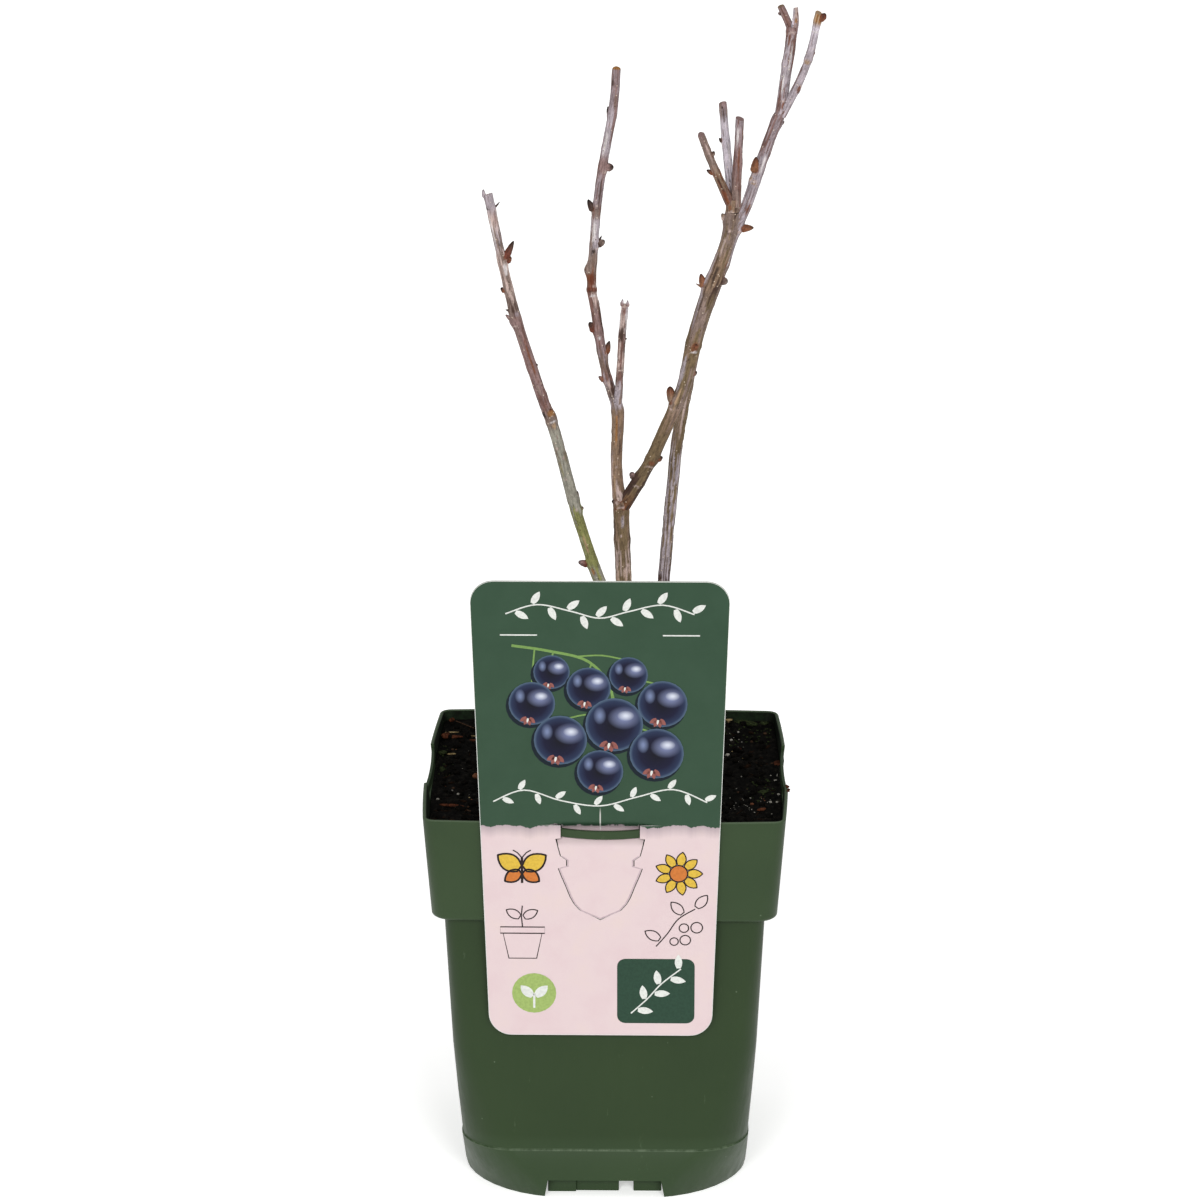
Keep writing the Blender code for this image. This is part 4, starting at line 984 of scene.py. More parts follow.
def printSmallDrawings(bm, ink):
    thin, line = artwork["thin"], ink["line"]
    # butterfly
    for turn, length, colour in ((35, 10.5, "yellow"), (145, 10.5, "yellow"), (-35, 7.5, "orange"),
                                 (215, 7.5, "orange")):
        wing = leafPoints(-28, 66, length, length * 0.62, math.radians(turn), 9)
        inkFace(bm, wing, 0.03, ink[colour])
        inkLine(bm, wing, thin * 1.6, 0.05, line, closed=True)
    inkLine(bm, [(-28, 61), (-28, 71)], 0.9, 0.06, line)
    for side in (-1, 1):
        inkLine(bm, [(-28, 71), (-28 + 1.6 * side, 73), (-28 + 3.2 * side, 74)], thin, 0.06, line)
    # flower
    for petal in range(9):
        turn = 2 * math.pi * petal / 9
        leaf = leafPoints(28 + 2.4 * math.cos(turn), 65 + 2.4 * math.sin(turn), 6.2, 3.4, turn, 7)
        inkFace(bm, leaf, 0.03, ink["yellow"])
        inkLine(bm, leaf, thin, 0.04, line, closed=True)
    inkFace(bm, arcPoints(28, 65, 3.2), 0.05, ink["orange"])
    inkLine(bm, arcPoints(28, 65, 3.2), thin, 0.06, line, closed=True)
    # flower pot with a sprout
    for shape in ([(-33, 31), (-23, 31), (-21, 41), (-35, 41)],
                  [(-36, 41), (-20, 41), (-20, 43.5), (-36, 43.5)]):
        inkLine(bm, shape, thin, 0.03, line, closed=True)
    inkLine(bm, [(-28, 43.5), (-28.4, 48), (-28, 52)], thin, 0.03, line)
    for turn in (0.5, 2.6):
        inkLine(bm, leafPoints(-28.2, 47, 6.5, 3.4, turn, 7), thin, 0.03, line, closed=True)
    # fruiting twig
    twig = smoothPoints([(20, 36), (24, 41), (28, 47), (34, 51)])
    inkLine(bm, twig, thin, 0.03, line)
    for x, y, turn in ((22, 38.5, 2.6), (30, 48.5, 2.3), (34, 51, 0.9)):
        inkLine(bm, leafPoints(x, y, 7.0, 3.6, turn, 8), thin, 0.03, line, closed=True)
    for x, y, size in ((26.5, 38, 1.5), (30.5, 38.6, 1.9), (30, 43.4, 1.7), (34.6, 43.6, 2.1)):
        inkLine(bm, arcPoints(x, y, size), thin, 0.03, line, closed=True)


def makeArtwork():
    codes = {"white": "CCCEC9", "line": "241C1B", "leaf": "6C8B4C", "shade": "0F1A23",
             "calyx": "84504A", "yellow": "C7A63E", "orange": "BA6D32", "block": "263F31",
             "lime": "90A55F", "cutshade": "B3A0A5"}
    ink = {name: number for number, name in enumerate(list(codes) + ["berry"])}
    materials = [inkMaterial(name.capitalize() + " ink", code) for name, code in codes.items()]
    bm = bmesh.new()
    uv = bm.loops.layers.uv.new("berry")
    printBerries(bm, uv, ink)
    printSprays(bm, artwork["garland"], 6.0, ink["white"])
    printSprays(bm, artwork["wave"], 5.0, ink["white"])
    for side in (-1, 1):
        inkLine(bm, [(side * 35, 157), (side * 22, 157)], 0.5, 0.03, ink["white"])
    printSmallDrawings(bm, ink)
    # plain block with a sprig, and a disc with a sprout
    block = []
    for x, y, start in ((34, 5, -90), (34, 31, 0), (6, 31, 90), (6, 5, 180)):
        block += arcPoints(x + (3 if x == 6 else -3), y + (3 if y == 5 else -3), 3.0, start,
                           start + 90, 5)
    inkFace(bm, block, 0.03, ink["block"])
    printSprays(bm, [(11, 9), (17, 15), (22, 21), (29, 27)], 6.5, ink["white"], 0.05)
    inkFace(bm, arcPoints(-24, 17, 8.0), 0.03, ink["lime"])
    inkLine(bm, [(-24, 11), (-24, 17)], 0.8, 0.05, ink["white"])
    for turn in (0.8, 2.34):
        inkFace(bm, leafPoints(-24, 15, 7.0, 3.6, turn, 8), 0.05, ink["white"])
    # a lilac-grey line along the inside of the tongue's cut edges: painted shade at the cut
    for side in (-1, 1):
        inset = card["cutGap"] + artwork["cutshade"] * 0.7
        cut = [(side * (half - inset), cardUp(height)) for half, height in card["cut"]
               if height < card["dip"][-1][1]]
        inkLine(bm, cut + [(0.0, cardUp(card["cutTip"]) + inset)], artwork["cutshade"], 0.012, ink["cutshade"])
    # the sheet's cut edge shows white round the print
    shrink = 1 - artwork["edge"] / 2 / card["topHalf"]
    rim = [(x * shrink, max(y, 0.2) * (1 - 0.0009)) for x, y in cardOutline()]
    inkLine(bm, rim, artwork["edge"], 0.015, ink["white"], closed=True)
    finishPiece("cardArtwork", bm, materials + [berryInk()], outward=False)
    print("artwork made")


# colours of the wood, sRGB
tones = {
    "olive": "8F8F59", "greyOlive": "9D998C", "khaki": "79664C", "hazel": "8E7560", "taupe": "816C61",
    "stone": "8B776E", "mauve": "7D5C54", "rose": "907572", "silver": "B4A8AE", "lilac": "9C8C90",
    "cream": "C3ACA4", "white": "DDD5D4", "pearl": "CDC3CC", "russet": "7A4A32", "rust": "6E3620",
    "amber": "84583E", "chestnut": "6C3A2C", "ochre": "A07040", "tan": "B29476",
    "umber": "4A362E", "dark": "2C1F1B",
}
woodDim = 0.75                     # paint under the key light is darker than it looks
# Limbs, in millimetres. course: x, y, z and radius. coat: height, under-bark, skin over it
# and how much skin is left. patches: height, side, tall, wide, tone. arcs: pale leaf scars
# as height, side, wide, tone. bumps: swollen nodes as height, side, out, tall and wide in
# degrees. buds: height, side, length, width, lean, style, tones of foot and tip. A side of 0
# is right, 90 back, 180 left and -90 the card's side.
limbs = {
    "mainStemBark": {
        "node": "main_stem", "stripes": 1.8, "end": ("dome", "mauve"),
        "course": [(7.3, 4.0, 142.0, 5.6), (7.3, 4.0, 148.0, 4.5), (7.5, 4.2, 155.0, 3.9),
                   (7.3, 4.6, 190.0, 3.5), (6.1, 5.0, 222.0, 2.95), (5.2, 5.0, 244.0, 2.85),
                   (5.1, 5.0, 249.0, 3.0), (4.9, 5.0, 251.8, 2.5)],
        "bumps": [(250.0, -62, 0.45, 1.3, 26), (251.0, -140, 0.4, 1.2, 26), (248.4, -100, 0.25, 0.9, 26),
                  (250.6, -10, 0.5, 1.6, 40), (246.5, -30, 0.2, 2.0, 50), (212, -150, 0.35, 2.0, 40),
                  (236, 80, 0.3, 2.0, 50)],
        "coat": [(143, "umber", "taupe", 0.4), (215, "khaki", "tan", 0.2), (231, "khaki", "cream", 0.35),
                 (238, "khaki", "hazel", 0.45), (246, "khaki", "hazel", 0.5), (254, "mauve", "hazel", 0.5)],
        "patches": [(227, -62, 12, 0.6, "cream"), (228, -108, 10, 0.6, "cream"),
                    (243.4, -80, 4.6, 1.3, "silver"), (238.3, -95, 0.9, 0.9, "cream"),
                    (250.8, -118, 1.4, 1.3, "cream"), (249.6, -84, 1.2, 1.0, "umber"),
                    (250.2, -58, 1.6, 1.4, "cream"), (248.6, -70, 1.4, 1.8, "russet"),
                    (251.6, -92, 1.2, 1.6, "russet"), (248.2, -130, 1.6, 1.2, "russet"),
                    (233, -20, 12, 1.6, "umber"), (240, -150, 9, 1.2, "umber")],
        "arcs": [(249.2, -90, 3.0, "cream")],
        "buds": [(176.0, 20, 2.2, 2.4, 37, "scales", "taupe", "umber"),
                 (212.0, -150, 2.0, 2.2, 37, "knob", "taupe", "umber"),
                 (236.0, 80, 2.4, 2.2, 37, "scales", "russet", "umber"),
                 (251.0, -150, 1.4, 1.6, 60, "knob", "taupe", "umber")],
    },
    "leftBoughBark": {
        "node": "left_bough", "end": ("flat", "russet"),
        "course": [(7.4, 4.6, 187.0, 2.4), (3.6, 4.4, 203.0, 2.45), (-3.7, 3.0, 223.5, 2.15),
                   (-8.8, 0.7, 240.0, 2.05), (-11.5, -1.5, 249.8, 2.05), (-18.3, -6.0, 278.0, 2.0),
                   (-24.3, -9.5, 296.6, 1.85), (-32.4, -14.0, 324.1, 1.8), (-38.1, -18.0, 351.0, 1.6),
                   (-41.8, -21.0, 370.0, 1.55)],
        "coat": [(187, "khaki", "olive", 0.5), (218, "olive", "greyOlive", 0.65),
                 (225, "olive", "greyOlive", 0.6), (229, "olive", "olive", 0.3),
                 (246, "olive", "greyOlive", 0.2), (254, "olive", "greyOlive", 0.75),
                 (279, "stone", "greyOlive", 0.75), (285, "taupe", "stone", 0.4),
                 (291, "mauve", "rose", 0.35), (301, "mauve", "rose", 0.75), (322, "mauve", "rose", 0.8),
                 (327, "umber", "stone", 0.5), (333, "stone", "cream", 0.6), (346, "stone", "cream", 0.45),
                 (353, "stone", "silver", 0.45), (360, "stone", "cream", 0.8), (366, "lilac", "silver", 0.6),
                 (370, "lilac", "silver", 0.6)],
        "patches": [(287.2, -130, 2.4, 1.6, "dark"), (287.3, -62, 2.2, 1.8, "ochre"),
                    (287.0, -30, 2.6, 1.4, "ochre"), (282.5, -70, 2.0, 1.6, "tan"),
                    (225.5, -110, 3.2, 1.2, "ochre"), (325.2, -60, 2.0, 1.6, "lilac"),
                    (330.0, -95, 3.4, 0.5, "umber"), (328.5, -60, 2.6, 0.5, "umber"),
                    (337.0, -62, 1.6, 0.5, "umber"), (334.6, -72, 1.4, 0.5, "umber"),
                    (342.0, -70, 4.6, 1.5, "white"), (351.3, -77, 0.8, 0.8, "umber"),
                    (347.0, -66, 0.7, 0.7, "umber"), (356.0, -130, 11, 0.9, "white"),
                    (364.6, -150, 0.8, 2.6, "dark"), (361.0, -60, 5.0, 0.7, "rose"),
                    (308.0, -70, 16, 0.8, "russet"), (316.0, -115, 9, 0.9, "stone"),
                    (296.5, -90, 4.0, 0.8, "stone"), (270.0, -70, 1.0, 1.0, "cream"),
                    (262.0, -100, 1.1, 0.9, "cream"), (274.0, -115, 1.2, 0.9, "cream"),
                    (250.0, -75, 1.0, 0.8, "cream"), (236.0, -90, 8, 0.8, "tan")],
        "bumps": [(345, -20, 0.45, 2.0, 50), (322.4, 175, 0.8, 2.3, 42), (293, 0, 0.35, 2.0, 40),
                  (285.2, 5, 0.6, 2.0, 45), (283.6, -90, 0.2, 1.0, 400), (253, 0, 0.3, 2.2, 40),
                  (248.7, 0, 0.45, 1.3, 40), (228, 185, 0.35, 2.0, 50), (364, 0, 0.25, 1.6, 50),
                  (287.3, -90, 0.2, 1.2, 60), (326.5, 180, 0.3, 1.2, 40)],
        "arcs": [(284.2, -65, 2.6, "white"), (321.0, -120, 2.4, "cream"), (344.2, -40, 2.0, "cream")],
        "buds": [(346.0, -8, 8.4, 2.6, 36, "scales", "chestnut", "umber"),
                 (344.2, -5, 3.0, 2.6, 42, "knob", "chestnut", "russet"),
                 (333.8, 175, 2.2, 2.0, 37, "scales", "russet", "dark"),
                 (323.0, 178, 3.6, 1.6, 34, "flat", "stone", "rose"),
                 (326.4, 178, 1.8, 0.9, 60, "thorn", "umber", "dark"),
                 (287.6, -48, 2.0, 1.4, 30, "flat", "ochre", "russet"),
                 (304.7, 0, 1.0, 0.9, 45, "knob", "russet", "dark"),
                 (253.4, 0, 3.4, 1.1, 10, "flat", "taupe", "umber"),
                 (248.9, 0, 1.5, 1.5, 50, "knob", "olive", "taupe"),
                 (228.2, 185, 4.2, 2.5, 58, "knob", "chestnut", "rose"),
                 (364.3, 0, 3.6, 0.8, 50, "thorn", "umber", "dark"),
                 (368.8, 178, 3.4, 1.5, -4, "flat", "silver", "silver")],
    },
    "centreBoughBark": {
        "node": "centre_bough", "end": ("dome", "ochre"),
        "course": [(5.0, 5.0, 247.0, 2.4), (4.7, 5.1, 251.6, 2.7), (3.9, 5.5, 256.5, 2.3), (3.4, 6.0, 266.0, 2.1),
                   (3.9, 6.8, 283.8, 2.35), (1.6, 7.4, 291.5, 1.75), (-0.5, 8.2, 298.5, 1.65),
                   (-2.0, 9.0, 305.6, 1.7), (-3.3, 10.0, 314.4, 1.65), (-4.7, 11.0, 323.0, 1.75),
                   (-5.6, 11.6, 328.5, 1.7), (-5.2, 13.0, 340.3, 1.6), (-2.9, 15.0, 366.3, 1.6),
                   (1.8, 16.0, 392.3, 1.6), (3.1, 16.0, 407.6, 1.5)],
        "coat": [(252, "hazel", "cream", 0.25), (262, "hazel", "cream", 0.25), (270, "hazel", "stone", 0.3),
                 (279, "hazel", "stone", 0.4), (284, "hazel", "stone", 0.5), (287.5, "stone", "silver", 0.6),
                 (291, "umber", "stone", 0.5), (296, "mauve", "lilac", 0.4), (302, "taupe", "lilac", 0.35),
                 (311, "mauve", "rose", 0.7), (319, "mauve", "rose", 0.5), (326, "mauve", "cream", 0.35),
                 (333, "russet", "stone", 0.4), (339, "taupe", "stone", 0.6), (345, "stone", "silver", 0.6),
                 (352, "stone", "silver", 0.7), (356, "mauve", "stone", 0.4), (361, "mauve", "lilac", 0.5),
                 (368, "rose", "lilac", 0.45), (374, "mauve", "rose", 0.7), (379, "rose", "silver", 0.75),
                 (389, "rose", "silver", 0.5), (398, "rose", "lilac", 0.6), (408, "rose", "lilac", 0.4)],
        "patches": [(263.7, -90, 1.2, 1.0, "cream"), (277.5, -100, 11.0, 1.0, "ochre"),
                    (287.5, -60, 5.0, 2.0, "silver"), (294.3, -58, 2.6, 1.2, "umber"),
                    (294.0, -95, 2.6, 1.0, "cream"), (310.8, -90, 1.0, 0.9, "white"),
                    (318.0, -35, 12, 0.9, "umber"), (328.2, -85, 2.2, 5.0, "rust"),
                    (331.8, -85, 4.6, 2.4, "rust"), (327.4, -88, 0.7, 4.6, "umber"), (335.8, -125, 4.4, 2.0, "stone"),
                    (291.0, -60, 5.0, 1.3, "umber"), (299.0, -60, 6.0, 0.7, "umber"),
                    (342.0, -90, 1.6, 1.3, "dark"), (349.0, -100, 8, 1.4, "white"),
                    (363.0, -70, 11, 0.9, "umber"), (372.4, -80, 5.0, 2.0, "rose"),
                    (381.0, -110, 9, 1.0, "white"), (384.0, -45, 8, 0.7, "mauve"),
                    (402.8, -130, 2.6, 1.6, "umber"), (396.0, -70, 6, 0.7, "taupe"),
                    (271.0, -60, 6, 0.7, "umber"), (258.0, -115, 6, 0.8, "tan")],
        "bumps": [(335.2, 180, 1.35, 2.4, 42), (328.2, -90, 0.35, 0.9, 400), (372, 15, 0.4, 2.0, 50),
                  (357, 172, 0.35, 2.0, 45), (345, 0, 0.3, 2.2, 45), (313.4, 180, 0.6, 2.2, 42),
                  (304.6, 0, 0.45, 2.2, 45), (391.5, 180, 0.3, 2.2, 40), (296, 190, 0.4, 2.0, 45),
                  (252.4, -60, 0.35, 1.2, 30), (253.0, -135, 0.3, 1.3, 30), (284.6, -90, 0.15, 1.2, 400)],
        "arcs": [(326.2, -90, 3.2, "white"), (371.0, -40, 1.8, "cream"), (343.2, -20, 1.8, "cream")],
        "buds": [(391.5, 180, 3.2, 1.2, 12, "flat", "dark", "dark"),
                 (372.5, 0, 3.2, 3.0, 75, "knob", "rose", "umber"),
                 (357.0, 180, 4.8, 2.7, 30, "scales", "umber", "dark"),
                 (344.3, 0, 3.6, 2.6, 50, "knob", "umber", "stone"),
                 (345.2, 0, 3.6, 1.1, 22, "thorn", "umber", "dark"),
                 (344.0, -10, 3.4, 1.2, 60, "thorn", "umber", "dark"),
                                  (313.6, 180, 4.4, 2.6, 22, "knob", "chestnut", "umber"),
                 (305.2, 0, 5.4, 2.4, 25, "scales", "russet", "umber"),
                 (296.0, 190, 2.8, 2.0, 40, "scales", "russet", "mauve")],
    },
    "rightBoughBark": {
        "node": "right_bough", "end": ("joined", "taupe"),
        "course": [(4.9, 5.0, 247.0, 2.4), (8.4, 3.6, 253.6, 2.65), (14.9, 0.5, 265.2, 2.25),
                   (20.0, -2.0, 277.1, 2.3), (27.5, -4.0, 295.5, 2.4), (31.5, -6.0, 313.7, 2.8),
                   (36.6, -8.0, 331.7, 2.8), (42.7, -10.0, 349.6, 2.45), (44.6, -11.0, 361.5, 2.35)],
        "coat": [(247, "umber", "russet", 0.5), (258, "umber", "khaki", 0.5), (275, "khaki", "khaki", 0.5),
                 (283, "khaki", "hazel", 0.5), (292, "khaki", "stone", 0.55), (300, "khaki", "stone", 0.5),
                 (309, "khaki", "hazel", 0.5), (318, "khaki", "stone", 0.5), (327, "khaki", "stone", 0.5),
                 (335, "umber", "hazel", 0.75), (343, "khaki", "hazel", 0.7), (351, "khaki", "stone", 0.6),
                 (362, "taupe", "stone", 0.6)],
        "bumps": [(260, 180, 0.35, 1.6, 45), (268.4, 0, 0.4, 1.7, 55), (290, 180, 0.5, 2.4, 42),
                  (312.5, -60, 0.45, 1.8, 55), (333.6, 180, 0.45, 2.4, 45), (337.5, 0, 0.5, 2.0, 45),
                  (358, 180, 0.4, 2.0, 45), (301.5, 0, 0.25, 1.5, 40), (267, -90, 0.15, 0.9, 400)],
        # the thin umber line beside the silver strip on the left is a painted shadow under the peeling strip
        "patches": [(333, -152, 26, 1.3, "silver"), (334, -127, 24, 0.5, "umber"),
                    (300, -150, 12, 1.7, "silver"), (339, -20, 6, 0.9, "mauve"), (267.6, -80, 1.8, 2.6, "russet"), (303.5, -130, 11, 1.2, "silver"),
                    (311.8, -80, 4.6, 2.6, "russet"), (317.5, -165, 1.6, 1.2, "russet"),
                    (322.0, -145, 10, 1.3, "lilac"), (338.5, -100, 10.5, 0.7, "dark"),
                    (331.0, -75, 7, 0.6, "umber"), (343.0, -30, 2.6, 1.8, "russet"),
                    (361.5, -60, 5.0, 0.7, "umber"), (283.0, -70, 9, 0.8, "taupe"),
                    (292.0, -110, 8, 0.9, "tan"), (349.0, -120, 8, 1.1, "cream"),
                    (352.0, -60, 6, 0.8, "taupe"), (257.0, -60, 4, 1.2, "umber"),
                    (325.0, -45, 8, 0.8, "taupe"), (355.0, -90, 1.0, 1.0, "cream")],
        "arcs": [(258.3, -95, 2.4, "cream"), (266.2, -80, 3.0, "cream"), (310.2, -70, 3.0, "white"),
                 (364.0, -90, 4.0, "cream"), (287.5, -130, 2.4, "cream")],
        "buds": [(259.6, 180, 2.8, 2.4, 62, "knob", "umber", "rose"),
                 (268.8, 0, 2.4, 2.4, 37, "scales", "russet", "umber"),
                 (289.4, 182, 7.2, 3.1, 26, "club", "hazel", "russet"),
                 (301.5, -10, 1.8, 1.8, 37, "scales", "taupe", "umber"),
                 (312.2, -75, 1.8, 2.0, 35, "flat", "russet", "russet"),
                 (333.4, 178, 5.4, 2.9, 32, "scales", "amber", "russet"),
                 (332.6, 178, 3.6, 1.0, 78, "thorn", "ochre", "mauve"),
                 (336.8, 0, 3.1, 3.1, 75, "knob", "umber", "stone"),
                 (358.4, 180, 3.0, 1.8, 30, "knob", "cream", "hazel")],
    },
    "backStemBark": {
        "node": "back_stem", "stripes": 3.2, "end": ("joined", "taupe"),
        "course": [(16.5, 14.5, 142.0, 4.4), (16.5, 14.5, 147.5, 3.5), (16.8, 14.8, 154.0, 2.8),
                   (18.6, 17.2, 185.0, 2.45), (21.1, 20.2, 220.0, 2.2), (23.9, 23.0, 252.5, 2.2),
                   (26.0, 25.0, 271.0, 2.2), (32.6, 28.2, 306.0, 2.15), (41.4, 31.0, 331.4, 2.15),
                   (45.4, 32.0, 344.0, 2.1), (50.8, 33.5, 356.2, 2.0), (55.9, 35.0, 371.4, 2.05),
                   (60.7, 36.5, 384.4, 2.05), (62.5, 37.0, 388.4, 1.95)],
        "coat": [(143, "umber", "taupe", 0.4), (217, "umber", "silver", 0.5), (232, "khaki", "silver", 0.42),
                 (262, "khaki", "silver", 0.4), (270, "khaki", "stone", 0.35), (286, "khaki", "taupe", 0.4),
                 (297, "taupe", "stone", 0.5), (305, "mauve", "hazel", 0.5), (314, "taupe", "hazel", 0.5),
                 (330, "taupe", "lilac", 0.5), (346, "taupe", "silver", 0.5), (355, "rose", "silver", 0.5),
                 (362, "lilac", "silver", 0.8), (371, "rose", "silver", 0.7), (379, "mauve", "lilac", 0.6),
                 (389, "rose", "lilac", 0.5)],
        "bumps": [(347, 0, 0.45, 2.0, 45), (363.8, -115, 0.5, 1.2, 90), (385, 0, 0.35, 2.0, 50),
                  (334, 90, 0.3, 2.0, 50), (373.0, 0, 0.2, 2.0, 60)],
        "patches": [(224.0, -58, 15, 1.2, "silver"), (245.0, -130, 22, 0.6, "silver"),
                    (250.0, -78, 20, 0.35, "pearl"), (240.0, -160, 34, 0.7, "umber"),
                    (240.0, -14, 34, 0.8, "umber"), (240.0, -100, 26, 0.4, "umber"),
                    (280.0, -80, 22, 0.8, "cream"), (295.0, -120, 14, 1.0, "umber"),
                    (340.0, -100, 4.0, 1.4, "russet"), (354.0, -60, 4.0, 1.2, "russet"),
                    (378.0, -150, 11, 1.2, "mauve"), (364.2, -140, 1.8, 1.5, "tan"), (336.0, -60, 9, 1.0, "white"),
                    (370.0, -70, 7, 0.9, "white"), (310.0, -70, 9, 0.8, "silver")],
        "arcs": [(364.0, -110, 3.4, "cream"), (362.9, -100, 2.6, "tan"), (346.0, -40, 2.2, "cream")],
        "buds": [(196.0, 120, 2.6, 2.4, 37, "scales", "taupe", "umber"),
                 (243.0, 70, 2.4, 2.2, 37, "scales", "taupe", "umber"),
                 (289.0, 100, 3.0, 2.4, 37, "scales", "russet", "umber"),
                 (334.0, 90, 3.0, 2.4, 37, "scales", "russet", "umber"),
                 (347.5, 0, 5.4, 3.0, 62, "scales", "russet", "amber"),
                 (367.4, -142, 6.2, 3.1, 14, "scales", "amber", "russet"),
                 (385.0, 0, 2.0, 1.2, 24, "flat", "taupe", "umber")],
    },
    "tornTwig": {
        "node": "torn_twig", "end": ("flat", "cream"),
        "course": [(3.9, 6.4, 287.0, 1.5), (4.4, 5.2, 296.0, 1.4), (4.9, 3.9, 304.0, 1.3),
                   (5.4, 2.6, 312.0, 1.3), (6.1, 1.0, 321.0, 1.35), (6.4, 0.3, 325.2, 1.2)],
        "coat": [(287, "stone", "silver", 0.7), (292, "taupe", "silver", 0.5), (297, "mauve", "stone", 0.35),
                 (304, "mauve", "cream", 0.5), (310, "mauve", "cream", 0.5), (314, "umber", "rose", 0.5),
                 (318, "cream", "white", 0.5), (326, "rose", "silver", 0.5)],
        "patches": [(323.0, -90, 2.4, 1.5, "mauve"), (317.6, -60, 2.4, 0.6, "mauve"), (314.5, -100, 6, 1.3, "umber"),
                    (309.0, -40, 11, 0.7, "umber"), (308.0, -140, 12, 0.6, "mauve"),
                    (293.0, -80, 7, 1.6, "silver")],
        "arcs": [(300.5, -70, 2.0, "cream")],
        "buds": [(324.9, 180, 3.0, 1.4, -6, "thorn", "rose", "silver"),
                 (324.7, 0, 2.8, 1.4, -6, "thorn", "rose", "silver"),
                 (312.0, 0, 0.8, 0.8, 45, "knob", "umber", "umber")],
    },
}
